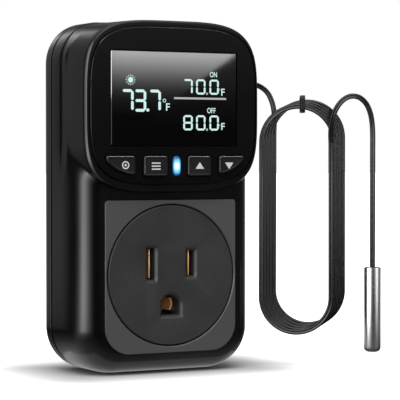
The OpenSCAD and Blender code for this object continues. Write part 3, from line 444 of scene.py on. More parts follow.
# The head's flank meets the rounding in a soft hollow that tightens towards the front
for out in depths[1:]:
    hollow = 2.6 * (1 - ((out - band_at) / rounding_out) ** 3) + 0.15
    rays = []
    for body, head in zip(case_rays(lambda angle: rounding_inset(out, angle)), head_rays(out)):
        near = max(0.0, hollow - abs(body - head)) / hollow
        rays.append(max(body, head) + near * near * hollow / 4)
    outer = case_rays(lambda angle: ridge_at(out, angle))
    front_rings.append(ring_of([min(r, o) for r, o in zip(rays, outer)], out))
front_rings.append(ring_of(head_rays(shell_front), shell_front))
# The rim: a slanting band one millimetre wide, then a flat edge
for out, inset in ((28.85, 1e-4), (28.97, 0.02), (29.15, 0.09), (29.75, 0.36), (29.9, 0.45), (29.97, 0.54),
                   (face_at, 0.68), (face_at, 0.78)):
    front_rings.append(ring_of(head_rays(28.9, inset), out))
recess_edge = squircle_edge(26.5, 22.45, panel_mid, 4.0)
for grow, out in ((1.0, face_at), (0.9, face_at - 0.05), (0.9, face_at - 0.45), (0.0, face_at - 0.45),
                  (0.0, panel_back)):
    rays = [reach(recess_edge, ray_centre, a, -grow * groove_inset(a)) for a in ray_angles]
    front_rings.append(ring_of(rays, out))
front_shell = skinned("front_case_half", front_rings, 33.0)
work_front = partial(worked, front_shell, crease=33.0)

work_front([profiled("case_hollow", case_plan, [(wall, 5.0), (wall, band_at)] + [
    (wall + ridge + rounding_in * (1 - c), band_at + 12.1 * s) for c, s in quarter_turn(8)[1:]
])])
head_angles = spread_angles(squircle_edge(*head_hollow_half, head_mid, 4.4), head_centre, 96, 0.5)
work_front([skinned("head_hollow", [
    at_depth(traced((squircle_edge(*head_hollow_half, head_mid, squareness), head_centre, head_angles)), out)
    for squareness, out in ((4.8, 11.9), (4.0, 26.2))
])])
control_post_places = [(23.1, 52.25), (-23.1, 52.25), (23.1, 37.65), (-23.1, 37.65)]
work_front([
    rod("case_post", x, z, post_radius, seam_at, 19.0 if z > 0 else 24.8) for x, z in post_places
] + [rod("control_post", x, z, 1.4, 21.6, 26.3, 32) for x, z in control_post_places], operation="UNION")

plate_middle = (0, -3)
key_row_x, key_row_z, key_height, key_corner = 0.6, 28.0, 5.7, 0.7
outlet_z = -3.2


def plate_edge(grow=0.0):
    """Edge of the grey outlet plate: nearly square above, round corners below."""
    return box_edge(0, -3.55, 41.8, 43.7, 1.0, 7.8, grow)


def prism(name, edge, centre, back, front, count=96):
    return profiled(name, plan_of(edge, centre, count), [(0.0, back), (0.0, front)])


def block(name, x, z, width, height, back, front, count=96, radius=0.02):
    return prism(name, box_edge(x, z, width, height, radius), (x, z), back, front, count)


def outer_key_edge(side, grow=0.0):
    """Edge of an outer button: a rounded square cut by the panel's corner."""
    square = box_edge(key_row_x + side * 18.05, key_row_z, 9.1, key_height, key_corner, grow=grow)
    corner = squircle_edge(24.2 + grow, 20.15 + grow, panel_mid, 4.0)
    soft = 0.9

    def edge(x, z):
        flat, curve = square(x, z), corner(x, z)
        near = max(0.0, soft - abs(flat - curve)) / soft
        return max(flat, curve) + near * near * soft / 4
    return edge


def inner_key_edge(side, grow=0.0):
    return box_edge(key_row_x + side * 7.0, key_row_z, 7.3, key_height, key_corner, grow=grow)


def light_edge(grow=0.0):
    return box_edge(key_row_x, key_row_z, 2.7, key_height, 1.349, grow=grow)


def key_middle(side, outer):
    return (key_row_x + side * (16.9 if outer else 7.0), key_row_z + (0.5 if outer else 0.0))


def key_ways(back, front):
    """Tools for the five openings of the button row."""
    tools = [
        prism("key_way", edge_of(side, 0.3), key_middle(side, edge_of is outer_key_edge), back, front)
        for side in (-1, 1) for edge_of in (outer_key_edge, inner_key_edge)
    ]
    return tools + [prism("light_way", light_edge(0.15), (key_row_x, key_row_z), back, front)]


display_z = 47.2
cable_low, cable_high, cable_back, cable_front = 50.2, 54.8, 7.7, 11.1
work_front([
    prism("plate_recess", plate_edge(0.15), plate_middle, 26.0, 29.0, 160),
    rod("outlet_way", 0, outlet_z, 18.45, 24.0, 29.0, 96),
    block("display_way", 0, display_z, 41.5, 28.1, 25.0, 29.0, 64),
])
work_front(key_ways(25.0, 29.0))
work_front([rod("screw_bore", x, z, 1.3, 5.0, 14.5, 24) for x, z in post_places] + [
    rod("control_bore", x, z, 0.8, 21.0, 24.6, 20) for x, z in control_post_places
] + [skinned("cable_way", [
    [(x, cable_back, cable_low), (x, cable_front, cable_low),
     (x, cable_front, cable_high), (x, cable_back, cable_high)]
    for x in (24.0, 30.0)
])])
dressed(front_shell, case_black, "case_black", "front_shell")

# Outlet plate
# A grey ABS plate set into the front shell round the outlet, with a plain satin face,
# eased edges and a round opening that is bevelled at its rim.

plate_grey = marked_finish("Plate grey, satin", (0.072, 0.072, 0.073), (0.090, 0.090, 0.091),
                           (0.38, 0.46), 3800.0, 0.01, 35.0, specular=0.3)
plate_face, plate_easing = 28.0, 0.2
outlet_plate = profiled("outlet_plate", plan_of(plate_edge(), plate_middle, 260, 0.5), [(0.0, 26.0)] + [
    (plate_easing * (1 - c), plate_face - plate_easing + plate_easing * s) for c, s in quarter_turn(4)
] + [(0.32, plate_face)])
worked(outlet_plate, [turned("plate_opening", 0, outlet_z, [
    (20.4, 25.0), (20.4, 27.72), (20.5, 27.86), (20.72, 28.02), (20.72, 28.5),
], 160)])
dressed(outlet_plate, plate_grey, "plate_grey", "socket_plate")

# Outlet face
# Dark thermoset disc with a fine grain, the hub behind it, two blade slots with
# bevelled mouths, the wider one for neutral, and the D-shaped ground hole.

insert_grey = marked_finish("Outlet thermoset, fine grain", (0.027, 0.027, 0.028), (0.043, 0.043, 0.044),
                            (0.44, 0.54), 2600.0, 0.03, 90.0, specular=0.32)
outlet_face = turned("outlet_face", 0, outlet_z, [
    (18.3, 13.2), (18.3, 26.0), (20.0, 26.0), (20.0, 27.7), (19.93, 27.88), (19.75, 28.0),
], 160)
slot_x, slot_width, neutral_height, line_height = 6.35, 2.4, 9.0, 7.4
ground_z, ground_half, ground_foot = -11.9, 2.95, 2.9
# How far a mouth has opened at each depth: a bevel of 45 degrees with rounded lips
mouth_profile = [(0.0, 12.0), (0.0, 27.1), (0.05, 27.23), (0.62, 27.80), (0.76, 27.92), (0.88, 27.975),
                 (1.0, 28.0), (1.2, 28.033)]


def ground_edge(grow):
    """D-shaped ground hole: round above, square-cornered below."""
    foot = ground_foot + grow
    square = box_edge(0, ground_z - foot / 2, 2 * (ground_half + grow), foot, 0.3)
    return lambda x, z: min(math.hypot(x, z - ground_z) - ground_half - grow, square(x, z))


def slot_edge(x, height):
    return lambda grow: box_edge(x, 0.0, slot_width + 2 * grow, height + 2 * grow, 0.12)


def mouth(name, edge_of, centre, count, corner_share=0.7):
    """Tool for a hole whose mouth is bevelled."""
    angles = spread_angles(edge_of(0.0), centre, count, corner_share)
    return skinned(name, [
        at_depth(traced((edge_of(grow), centre, angles)), out) for grow, out in mouth_profile
    ])


worked(outlet_face, [
    block("blade_pocket", x, 0, 5.2, 10.6, 12.0, 25.0, 48) for x in (-slot_x, slot_x)
] + [rod("ground_pocket", 0, ground_z, 3.6, 12.0, 23.4, 64)])
worked(outlet_face, [
    mouth("neutral_mouth", slot_edge(-slot_x, neutral_height), (-slot_x, 0), 72),
    mouth("line_mouth", slot_edge(slot_x, line_height), (slot_x, 0), 72),
    mouth("ground_mouth", ground_edge, (0, ground_z), 96, 0.5),
])
dressed(outlet_face, insert_grey, "insert_grey", "socket_insert")

# Outlet contacts
# Copper alloy leaves behind the slots and a rolled sleeve behind the ground hole,
# pressed from strip, so their edges are rounded. The sleeve's front is cut into two
# fingers.

contact_copper = marked_finish("Contact copper, rolled strip", (0.66, 0.38, 0.17), (0.84, 0.54, 0.27),
                               (0.50, 0.60), 1800.0, 0.006, 260.0, metal=1.0)
leaf_tip_at, leaf_seat = -20.0 * mm, 0.9 * mm


def eased(piece, width, segments=2):
    """Rounds the edges that a tool or a mould never leaves sharp."""
    bevel = piece.modifiers.new("eased edges", "BEVEL")
    bevel.width = width * mm
    bevel.segments = segments
    bevel.limit_method = "ANGLE"
    bevel.angle_limit = math.radians(35.0)
    bevel.harden_normals = False
    return plain_mesh(piece, 40.0)


def copied(name, node, width, segments=2):
    """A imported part's own shape as a new piece that stands for it, with its edges eased."""
    piece = shown(name, nodes[node].data.copy())
    shape = bmesh.new()
    shape.from_mesh(piece.data)
    bmesh.ops.remove_doubles(shape, verts=shape.verts, dist=2e-6)
    bmesh.ops.dissolve_limit(shape, angle_limit=math.radians(1.0), verts=shape.verts, edges=shape.edges)
    shape.to_mesh(piece.data)
    shape.free()
    eased(piece, width, segments)
    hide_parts(node)
    return piece


for side, taller in (("neutral", 1.27), ("line", 1.1)):
    leaves = copied(side + "_leaves", side + "_contact", 0.08)
    for vertex in leaves.data.vertices:
        if vertex.co.y < leaf_tip_at:
            vertex.co.y += leaf_seat
            vertex.co.z *= taller
    dressed(leaves, contact_copper, "contact_copper")
ground_leaves = copied("ground_leaves", "ground_contact", 0.08)
worked(ground_leaves, [
    block("finger_gap", 0, ground_z + way * 3.4, 8.0, 3.2, 17.0, 26.0, 24) for way in (-1, 1)
] + [block("finger_end", 0, ground_z, 8.4, 8.6, 21.9, 26.5, 24)])
dressed(ground_leaves, contact_copper, "contact_copper")

# Plug
# The carrier of black thermoset holds two brass blades, the neutral one higher, and
# the turned ground pin; all three go on through it to the power board.

carrier_black = marked_finish("Carrier black, thermoset", (0.010, 0.010, 0.010), (0.020, 0.020, 0.021),
                              (0.45, 0.58), 2400.0, 0.03, 120.0, specular=0.4)
blade_brass = marked_finish("Blade brass, drawn", (0.60, 0.45, 0.20), (0.80, 0.65, 0.36),
                            (0.20, 0.34), 1500.0, 0.005, 240.0, metal=1.0)
dressed(copied("plug_carrier", "blade_carrier", 0.15), carrier_black, "carrier_black")
for side in ("neutral", "line"):
    dressed(copied(side + "_plug_blade", side + "_blade", 0.22, 3), blade_brass, "blade_brass")
plug_pin = turned("plug_ground_pin", 0, ground_z, [
    (1.2, 8.0), (1.2, 5.0), (1.9, 5.0), (1.9, 0.0), (2.23, 0.0), (2.38, -0.15), (2.38, -18.95),
] + [(1.19 + 1.19 * c, -19.0 - 1.6 * s) for c, s in quarter_turn(8)[1:-1]] + [(1.0, -20.6)], 64)
dressed(plug_pin, blade_brass, "blade_brass", "ground_pin")

# Screws
# Four blackened pan-head screws close the case from behind, and eight small
# zinc-plated ones hold the two boards. One tree makes every cross-head screw.

screw_tree, asked, answer = new_tree("Cross-head screws", "GeometryNodeTree", [
    ("Geometry", "Geometry", None), ("Head radius", "Float", 0.0025), ("Head height", "Float", 0.0012),
    ("Shank radius", "Float", 0.0013), ("Shank length", "Float", 0.010), ("Recess width", "Float", 0.0005),
    ("Thread pitch", "Float", 0.0009), ("Finish", "Material", None),
], [("Geometry", "Geometry", None)])
new_node, sum_of = partial(node_in, screw_tree), partial(arithmetic, screw_tree)


def offset(tree, x, y, z):
    return node_in(tree, "ShaderNodeCombineXYZ", X=x, Y=y, Z=z).outputs[0]


def parts_of(tree, vector):
    return node_in(tree, "ShaderNodeSeparateXYZ", Vector=vector).outputs


def own_place(tree):
    """A point's own place, as its three parts."""
    return parts_of(tree, tree.nodes.new("GeometryNodeInputPosition").outputs[0])


def kept_value(tree, name, sort="FLOAT"):
    """A value that each point carries."""
    carried = node_in(tree, "GeometryNodeInputNamedAttribute", {"data_type": sort}, Name=name)
    return carried.outputs["Attribute"]


def set_out(tree, asked, answer, instance, **ways):
    """Puts a shape on every point, makes it real and gives it its finish."""
    placed = node_in(tree, "GeometryNodeInstanceOnPoints",
                     Points=asked["Geometry"], Instance=instance, **ways)
    solid = node_in(tree, "GeometryNodeRealizeInstances", Geometry=placed.outputs["Instances"])
    coated = node_in(tree, "GeometryNodeSetMaterial",
                     Geometry=solid.outputs["Geometry"], Material=asked["Finish"])
    tree.links.new(coated.outputs["Geometry"], answer[0])


head = new_node("GeometryNodeMeshCone", {"fill_type": "NGON"}, Vertices=32, Depth=asked["Head height"],
                Radius_Bottom=asked["Head radius"], Radius_Top=sum_of("MULTIPLY", asked["Head radius"], 0.72))
thread_rings = sum_of("MULTIPLY", sum_of("DIVIDE", asked["Shank length"], asked["Thread pitch"]), 2.0)
shank = new_node("GeometryNodeMeshCylinder", Vertices=20, Radius=asked["Shank radius"],
                 Depth=asked["Shank length"], Side_Segments=thread_rings)
# Every second ring of the shank is drawn in, which makes the thread
right, back, up = own_place(screw_tree)
wave = sum_of("COSINE", sum_of("MULTIPLY", sum_of("DIVIDE", up, asked["Thread pitch"]), 2 * math.pi))
shrink = sum_of("ADD", sum_of("MULTIPLY", wave, 0.09), 0.91)
threaded = new_node("GeometryNodeSetPosition", Geometry=shank.outputs["Mesh"], Position=offset(
    screw_tree, sum_of("MULTIPLY", right, shrink), sum_of("MULTIPLY", back, shrink), up))
below = new_node("GeometryNodeTransform", Geometry=threaded.outputs["Geometry"], Translation=offset(
    screw_tree, 0.0, 0.0, sum_of("MULTIPLY", asked["Shank length"], -0.5)))
recessed = new_node("GeometryNodeMeshBoolean", {"operation": "DIFFERENCE"})
screw_tree.links.new(head.outputs["Mesh"], recessed.inputs["Mesh 1"])
bar_size = offset(screw_tree, sum_of("MULTIPLY", asked["Head radius"], 1.15), asked["Recess width"],
                  sum_of("MULTIPLY", asked["Head height"], 1.1))
for turn in (0.0, math.pi / 2):
    bar = new_node("GeometryNodeTransform", Rotation=(0.0, 0.0, turn),
                   Geometry=new_node("GeometryNodeMeshCube", Size=bar_size).outputs["Mesh"],
                   Translation=offset(screw_tree, 0.0, 0.0, asked["Head height"]))
    screw_tree.links.new(bar.outputs["Geometry"], recessed.inputs["Mesh 2"])
joined = screw_tree.nodes.new("GeometryNodeJoinGeometry")
screw_tree.links.new(recessed.outputs["Mesh"], joined.inputs[0])
screw_tree.links.new(below.outputs["Geometry"], joined.inputs[0])
set_out(screw_tree, asked, answer, joined.outputs[0],
        Rotation=kept_value(screw_tree, "facing", "FLOAT_VECTOR"))


def grown_on(name, points, kept, tree, **sizes):
    """The plain mesh of what a tree puts on points; kept values go as (name, sort, values)."""
    mesh = bpy.data.meshes.new(name)
    mesh.from_pydata(in_frame(points), [], [])
    for title, sort, values in kept:
        carried = mesh.attributes.new(title, sort, "POINT").data
        carried.foreach_set("value" if sort == "FLOAT" else "vector", values)
    piece = shown(name, mesh)
    maker = piece.modifiers.new(tree.name, "NODES")
    maker.node_group = tree
    for title, value in sizes.items():
        maker[tree.interface.items_tree[title.replace("_", " ")].identifier] = value
    return plain_mesh(piece)


def driven(name, heads, finish, slot, replaced, **sizes):
    """Screws with their heads' undersides at these places; each faces out (1) or back (-1)."""
    first_turn, turn_between = 0.3, 0.7
    facing = []
    for i, head in enumerate(heads):
        facing += [math.pi / 2 * head[3], first_turn + turn_between * i, 0.0]
    screws = grown_on(name, [head[:3] for head in heads], [("facing", "FLOAT_VECTOR", facing)], screw_tree,
                      Finish=finish, **sizes)
    dressed(screws, finish, slot, replaced)


blackened = marked_finish("Blackened steel", (0.03, 0.03, 0.031), (0.07, 0.07, 0.072),
                          (0.30, 0.42), 3000.0, 0.006, 300.0, metal=0.85)
zinc_steel = marked_finish("Zinc-plated steel", (0.50, 0.50, 0.51), (0.66, 0.66, 0.68),
                           (0.22, 0.34), 2200.0, 0.004, 400.0, metal=1.0)
driven("case_screws", [(x, screw_seat, z, -1) for x, z in post_places],
       blackened, "screw_dark", "housing_screws",
       Head_radius=0.0024, Head_height=0.0011, Shank_radius=0.00125, Shank_length=0.0125,
       Recess_width=0.0006, Thread_pitch=0.0009)
driven("board_screws_seated", [(x, 20.0, z, -1) for x, z in control_post_places]
       + [(x, 7.0, z, 1) for x, z in board_post_places], zinc_steel, "screw_steel", "board_screws",
       Head_radius=0.0014, Head_height=0.0008, Shank_radius=0.00073, Shank_length=0.0040,
       Recess_width=0.00035, Thread_pitch=0.0005)

# Front panel
# Satin black plastic pressed into the head's rim. Its front edge is eased, which shows
# as a hairline; the window, the buttons and the light come through it.

panel_black = marked_finish("Panel black, satin", (0.0022, 0.0022, 0.0024), (0.0035, 0.0035, 0.0038),
                            (0.17, 0.21), 5200.0, 0.0015, 30.0, specular=0.22)
panel_plan = plan_of(squircle_edge(26.3, 22.25, panel_mid, 4.0), (0, panel_mid), 280, 0.5)
panel_easing = 0.22
front_panel = profiled("front_panel_plate", panel_plan, [(0.0, panel_back)] + [
    (panel_easing * (1 - c), face_at - panel_easing + panel_easing * s) for c, s in quarter_turn(4)
] + [(0.34, face_at)])
worked(front_panel, [block("window_way", 0, display_z, 40.55, 27.15, 27.0, 31.0, 96, 0.4)])
worked(front_panel, key_ways(27.0, 31.0))
dressed(front_panel, panel_black, "panel_black", "front_panel")

# Display
# A polished black-masked window flush with the panel. Behind it are the glass in its
# frame, the diffuser and the rubber contact strips; the lit bars of the readings are
# seen at the window's face.

window_gloss, window_tree, window_shader, place = blank_finish("Window, polished over black")
grain, patches = marks_at(window_tree, place, 900.0, 70.0)
feed(window_tree, window_shader.inputs["Roughness"], ranged(window_tree, patches, (0.3, 0.8), (0.02, 0.05)))
toned(window_tree, window_shader.inputs["Base Color"], grain,
      (0.0012, 0.0012, 0.0014), (0.0024, 0.0024, 0.0028))
display_window = profiled(
    "display_window_pane", plan_of(box_edge(0, display_z, 40.15, 26.75, 0.4), (0, display_z), 128),
    [(0.0, panel_back), (0.0, face_at - 0.2), (0.2, face_at), (0.3, face_at)])
dressed(display_window, window_gloss, "window", "display_window")

bar_tree, asked, answer = new_tree("Lit bars", "GeometryNodeTree", [
    ("Geometry", "Geometry", None), ("Length", "Float", 0.003), ("Stroke", "Float", 0.0008),
    ("Thickness", "Float", 0.00004), ("Finish", "Material", None),
], [("Geometry", "Geometry", None)])
new_node, sum_of = partial(node_in, bar_tree), partial(arithmetic, bar_tree)
blank_bar = new_node("GeometryNodeMeshCylinder", Vertices=6, Radius=1.0, Depth=asked["Thickness"])
along, across, through = own_place(bar_tree)
half_length, half_stroke = sum_of("MULTIPLY", asked["Length"], 0.5), sum_of("MULTIPLY", asked["Stroke"], 0.5)
# The six corners become two points and four shoulders, whatever the bar's length
shoulder = sum_of("MULTIPLY", sum_of("LESS_THAN", sum_of("ABSOLUTE", along), 0.75), half_stroke)
along_bar = sum_of("MULTIPLY", sum_of("SIGN", along), sum_of("SUBTRACT", half_length, shoulder))
across_bar = sum_of("MULTIPLY", across, sum_of("DIVIDE", half_stroke, math.sin(math.radians(60))))
shaped = new_node("GeometryNodeSetPosition", Geometry=blank_bar.outputs["Mesh"],
                  Position=offset(bar_tree, along_bar, across_bar, through))
upright = new_node("GeometryNodeTransform", Geometry=shaped.outputs["Geometry"],
                   Rotation=(math.pi / 2, 0.0, 0.0))
set_out(bar_tree, asked, answer, upright.outputs["Geometry"],
        Rotation=offset(bar_tree, 0.0, kept_value(bar_tree, "turn"), 0.0),
        Scale=offset(bar_tree, kept_value(bar_tree, "stretch"), 1.0, 1.0))

lit_face = face_at + 0.02
mark_top = lit_face + 0.02


def lit_bars(name, bars, length, stroke):
    """Bars at (x, z, turn, length) in millimetres and radians, just proud of the window."""
    piece = grown_on(name, [(x, lit_face, z) for x, z, _, _ in bars], [
        ("turn", "FLOAT", [turn for _, _, turn, _ in bars]),
        ("stretch", "FLOAT", [long / length for _, _, _, long in bars]),
    ], bar_tree, Length=length * mm, Stroke=stroke * mm, Finish=segment_glow)
    dressed(piece, segment_glow, "window")


def glowing_finish(name, colour, edge_colour, strength):
    """A lit surface, a little uneven, as a diffuser leaves it."""
    material, tree, shader, place = blank_finish(
        name, Emission_Strength=strength, Base_Color=(0.02, 0.02, 0.02, 1.0), Roughness=0.4)
    patches = marks_at(tree, place, 3000.0, 900.0)[1]
    toned(tree, shader.inputs["Emission Color"], patches, edge_colour, colour)
    return material


segment_glow = glowing_finish("Lit segments", (0.80, 1.0, 0.96), (0.56, 0.90, 0.86), 0.92)
line_glow = glowing_finish("Lit rule", (0.50, 0.52, 0.52), (0.42, 0.44, 0.44), 0.9)

# Which of the seven bars each figure lights: top, upper right, lower right, foot,
# lower left, upper left, middle
figure_bars = {"0": "abcdef", "3": "abcdg", "7": "abc", "8": "abcdefg"}


def figure(number, left, foot, width, height, stroke):
    """Places of the bars of one figure."""
    inset, quarter = stroke / 2, (height - stroke) / 4
    middle, top = foot + height / 2, foot + height - inset
    right, level, tall = left + width - inset, (width - stroke) * 0.98, (height / 2 - inset) * 0.97
    places = {"a": (left + width / 2, top, 0.0, level), "d": (left + width / 2, foot + inset, 0.0, level),
              "g": (left + width / 2, middle, 0.0, level)}
    for letter, x, z in (("b", right, middle + quarter), ("c", right, middle - quarter),
                         ("e", left + inset, middle - quarter), ("f", left + inset, middle + quarter)):
        places[letter] = (x, z, math.pi / 2, tall)
    return [places[letter] for letter in figure_bars[number]]


lit_bars("large_reading", [
    bar for number, left in (("7", -16.95), ("3", -13.0), ("7", -8.35))
    for bar in figure(number, left, 43.35, 3.9, 6.3, 0.80)
], 3.0, 0.80)
lit_bars("set_readings", [
    bar for text, foot in (("700", 48.5), ("800", 38.2)) for number, left in zip(text, (2.7, 6.85, 11.2))
    for bar in figure(number, left, foot, 3.05, 4.35, 0.55)
], 2.0, 0.55)
sun_x, sun_z, ray_middle, ray_length = -14.0, 52.3, 1.3, 0.62
ray_turns = [2 * math.pi * i / 12 for i in range(12)]
ray_places = zip(circle(sun_x, sun_z, ray_middle, 12), ray_turns)
lit_bars("sun_rays", [(x, z, -turn, ray_length) for (x, z), turn in ray_places], ray_length, 0.17)
rule = block("display_rule", 8.2, 47.35, 16.9, 0.55, face_at, mark_top, 40)
dressed(rule, line_glow, "window")


def lit_dot(name, x, z, radius, finish, hole=0.0):
    """A round lit mark, or a ring where it has a hole."""
    profile = [(radius, face_at), (radius, mark_top)]
    if hole:
        profile = [(hole, face_at)] + profile + [(hole, mark_top)]
    dressed(turned(name, x, z, profile, 32, bool(hole)), finish, "window")


lit_dot("sun_disc", sun_x, sun_z, 0.78, segment_glow)
lit_dot("large_point", -8.6, 43.85, 0.46, segment_glow)
lit_dot("large_degree", -3.35, 46.6, 0.52, segment_glow, 0.34)
for side, point_z in (("upper", 48.75), ("lower", 38.45)):
    lit_dot(side + "_point", 10.4, point_z, 0.33, line_glow)
for side, degree_z in (("upper", 50.0), ("lower", 39.75)):
    lit_dot(side + "_degree", 14.5, degree_z, 0.24, line_glow, 0.12)


def lit_letters(name, letters, x, z, height, squeeze=1.0):
    """Plain letters, from their low left corner, as thin lit solids."""
    words = bpy.data.curves.new(name, "FONT")
    words.body = letters
    words.size = height * mm / 0.73
    words.extrude = 0.00002
    words.offset = height * 0.000015
    flat = shown(name + "_text", words)
    bpy.context.view_layer.update()
    mesh = bpy.data.meshes.new_from_object(flat.evaluated_get(bpy.context.evaluated_depsgraph_get()))
    bpy.data.objects.remove(flat)
    for vertex in mesh.vertices:
        right, up, out = vertex.co
        vertex.co = (x * mm + right * squeeze, -lit_face * mm - out, z * mm + up)
    dressed(settled(shown(name, mesh)), segment_glow, "window")


lit_letters("large_unit", "F", -3.0, 43.75, 2.2)
lit_letters("upper_unit", "F", 14.9, 48.3, 2.1)
lit_letters("lower_unit", "F", 14.9, 38.4, 2.1)
lit_letters("on_mark", "ON", 11.3, 53.55, 1.55, 0.72)
lit_letters("off_mark", "OFF", 10.4, 43.2, 1.55, 0.76)

# Buttons
# Four separate keys of black ABS on their own bodies. Each has a rounded edge, a flange
# behind the panel that holds it in, a shallow dish inside a narrow border, and a mark
# printed in white: a ring with a dot, three bars, and the two arrows.

key_black = marked_finish("Key black, satin", (0.0060, 0.0060, 0.0063), (0.0095, 0.0095, 0.0100),
                          (0.30, 0.38), 4800.0, 0.004, 120.0, specular=0.35)
key_white = marked_finish("Key mark, white print", (0.66, 0.66, 0.66), (0.82, 0.82, 0.82),
                          (0.45, 0.55), 9000.0, 0.002, 900.0)
key_front, key_easing = 31.0, 0.36
flange_back, flange_front, flange_lip = 25.35, 26.15, 0.5
key_bodies = {
    "set": ("set_key", outer_key_edge, -1), "function": ("function_key", inner_key_edge, -1),
    "up": ("up_key", inner_key_edge, 1), "down": ("down_key", outer_key_edge, 1),
}
for key, (body, edge_of, side) in key_bodies.items():
    plan = plan_of(edge_of(side), key_middle(side, edge_of is outer_key_edge), 120)
    flange = (edge_of(side, flange_lip), *plan[1:])
    rings = [at_depth(traced(flange), out) for out in (flange_back, flange_front)]
    for inset, out in [(0.0, flange_front)] + [
        (key_easing * (1 - c), key_front - key_easing + key_easing * s) for c, s in quarter_turn(5)
    ] + [(0.44, key_front), (0.56, key_front - 0.08), (0.68, key_front - 0.10), (0.82, key_front - 0.10)]:
        rings.append(at_depth(traced(plan, inset), out))
    dressed(skinned(key + "_key_cap", rings, 38.0), key_black, "button_black", key + "_button", body=body)

mark_back, mark_front = key_front - 0.12, key_front - 0.075


def printed(mark, body):
    dressed(mark, key_white, "button_black", body=body)


def printed_flat(name, outline, body):
    """A flat white mark from an outline of (x, z)."""
    printed(skinned(name, [at_depth(outline, mark_back), at_depth(outline, mark_front)]), body)


set_x, set_z, down_x = key_row_x - 16.6, 28.3, key_row_x + 16.6
printed(turned("set_mark_ring", set_x, set_z, [
    (0.78, mark_back), (1.14, mark_back), (1.14, mark_front), (0.78, mark_front),
], 40, True), "set_key")
printed_flat("set_mark_dot", circle(set_x, set_z, 0.36, 28), "set_key")
bar_left, bar_right, bar_half = key_row_x - 8.4, key_row_x - 5.6, 0.19
for i in (-1, 0, 1):
    low, high = key_row_z + 0.85 * i - bar_half, key_row_z + 0.85 * i + bar_half
    printed_flat("function_mark_bar_%d" % (i + 2), [
        (bar_left, low), (bar_right, low), (bar_right, high), (bar_left, high)], "function_key")
up_x, arrow_half, up_foot, up_tip, down_top, down_tip = key_row_x + 7.0, 1.4, 27.2, 29.1, 29.0, 27.1
printed_flat("up_mark", [
    (up_x - arrow_half, up_foot), (up_x + arrow_half, up_foot), (up_x, up_tip),
], "up_key")
printed_flat("down_mark", [
    (down_x - arrow_half, down_top), (down_x, down_tip), (down_x + arrow_half, down_top),
], "down_key")

# Light guide and its lamp
# An oval guide of clear acrylic between the buttons, lit blue from the small lamp on
# the board behind it; brightest in its middle.

guide_blue, guide_tree, guide_shader, place = blank_finish(
    "Light guide, lit blue", Emission_Strength=1.0, Base_Color=(0.01, 0.03, 0.08, 1.0), Roughness=0.25)
sum_of = partial(arithmetic, guide_tree)


def guide_share(socket, middle, half, power):
    """Share of the half width or height, away from the middle, to a power."""
    share = sum_of("DIVIDE", sum_of("SUBTRACT", socket, middle * mm), half * mm)
    return sum_of("POWER", sum_of("ABSOLUTE", share), power)


right, back, up = parts_of(guide_tree, place)
guide_ramp = node_in(guide_tree, "ShaderNodeValToRGB", Fac=sum_of("SQRT", sum_of(
    "ADD", guide_share(right, key_row_x, 1.35, 4.0), guide_share(up, key_row_z, 2.85, 2.0))))
ramp = guide_ramp.color_ramp
ramp.elements[0].position = 0.22
ramp.elements[0].color = (1.0, 1.0, 1.0, 1.0)
ramp.elements[1].position = 1.0
ramp.elements[1].color = (0.001, 0.008, 0.045, 1.0)
for position, tint in ((0.45, (0.24, 0.85, 1.0)), (0.68, (0.08, 0.50, 0.90)), (0.86, (0.008, 0.06, 0.25))):
    ramp.elements.new(position).color = (*tint, 1.0)
guide_tree.links.new(guide_ramp.outputs["Color"], guide_shader.inputs["Emission Color"])
light_plan = plan_of(light_edge(), (key_row_x, key_row_z), 72, 0.5)
light_guide = profiled("light_guide", light_plan, [
    (0.0, 23.2), (0.0, 29.9), (0.06, 30.05), (0.22, 30.12), (0.5, 30.15),
], 60.0)
dressed(light_guide, guide_blue, "light_pipe", "light_pipe")
lamp_finish = glowing_finish("Lamp epoxy, lit", (0.35, 0.6, 1.0), (0.2, 0.45, 1.0), 1.0)
finished(nodes["indicator_led"], lamp_finish)

# Display stack behind the window
# The liquid crystal glass in its black frame, the milky diffuser behind it, and the
# two rubber strips that join the glass to the control board.

inner_black = marked_finish("Inner black, plain moulded", (0.012, 0.012, 0.012), (0.022, 0.022, 0.023),
                            (0.40, 0.55), 2600.0, 0.015, 150.0, specular=0.4)
crystal_glass = marked_finish("Crystal glass", (0.010, 0.013, 0.020), (0.020, 0.024, 0.034),
                              (0.03, 0.08), 1500.0, 0.001, 80.0, coat=0.4, coat_rough=0.03)
milk_white = marked_finish("Diffuser, milky", (0.66, 0.76, 0.80), (0.78, 0.86, 0.90),
                           (0.30, 0.45), 5000.0, 0.004, 200.0)
strip_rubber = marked_finish("Contact strip rubber", (0.18, 0.19, 0.20), (0.32, 0.33, 0.34),
                             (0.70, 0.85), 9000.0, 0.006, 1200.0)


def fitted(*parts):
    """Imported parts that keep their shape: name, node, easing, finish, slot."""
    for name, node, width, finish, slot in parts:
        dressed(copied(name, node, width), finish, slot)


fitted(
    ("display_glass", "lcd_glass", 0.10, crystal_glass, "lcd_glass"),
    ("display_frame", "lcd_frame", 0.12, inner_black, "inner_black"),
    ("display_diffuser", "backlight_panel", 0.12, milk_white, "backlight"),
    ("display_strips", "zebra_strips", 0.08, strip_rubber, "zebra_rubber"),
)

# Control board
# Glass-epoxy board with green solder mask, shaped to the head. It carries the
# controller chip, four push switches, and the white probe connector.

board_green, board_tree, board_shader, place = blank_finish("Solder mask green, with tracks")
sum_of = partial(arithmetic, board_tree)


def track_lines(across, along):
    """Broken parallel tracks: stripes one way, cut up by cells the other."""
    stripes = sum_of("FRACT", sum_of("MULTIPLY", across, 620.0))
    cells = node_in(board_tree, "ShaderNodeTexVoronoi", Scale=130.0, Vector=place)
    kept = sum_of("GREATER_THAN", cells.outputs["Distance"], along)
    return sum_of("MULTIPLY", sum_of("LESS_THAN", stripes, 0.42), kept)


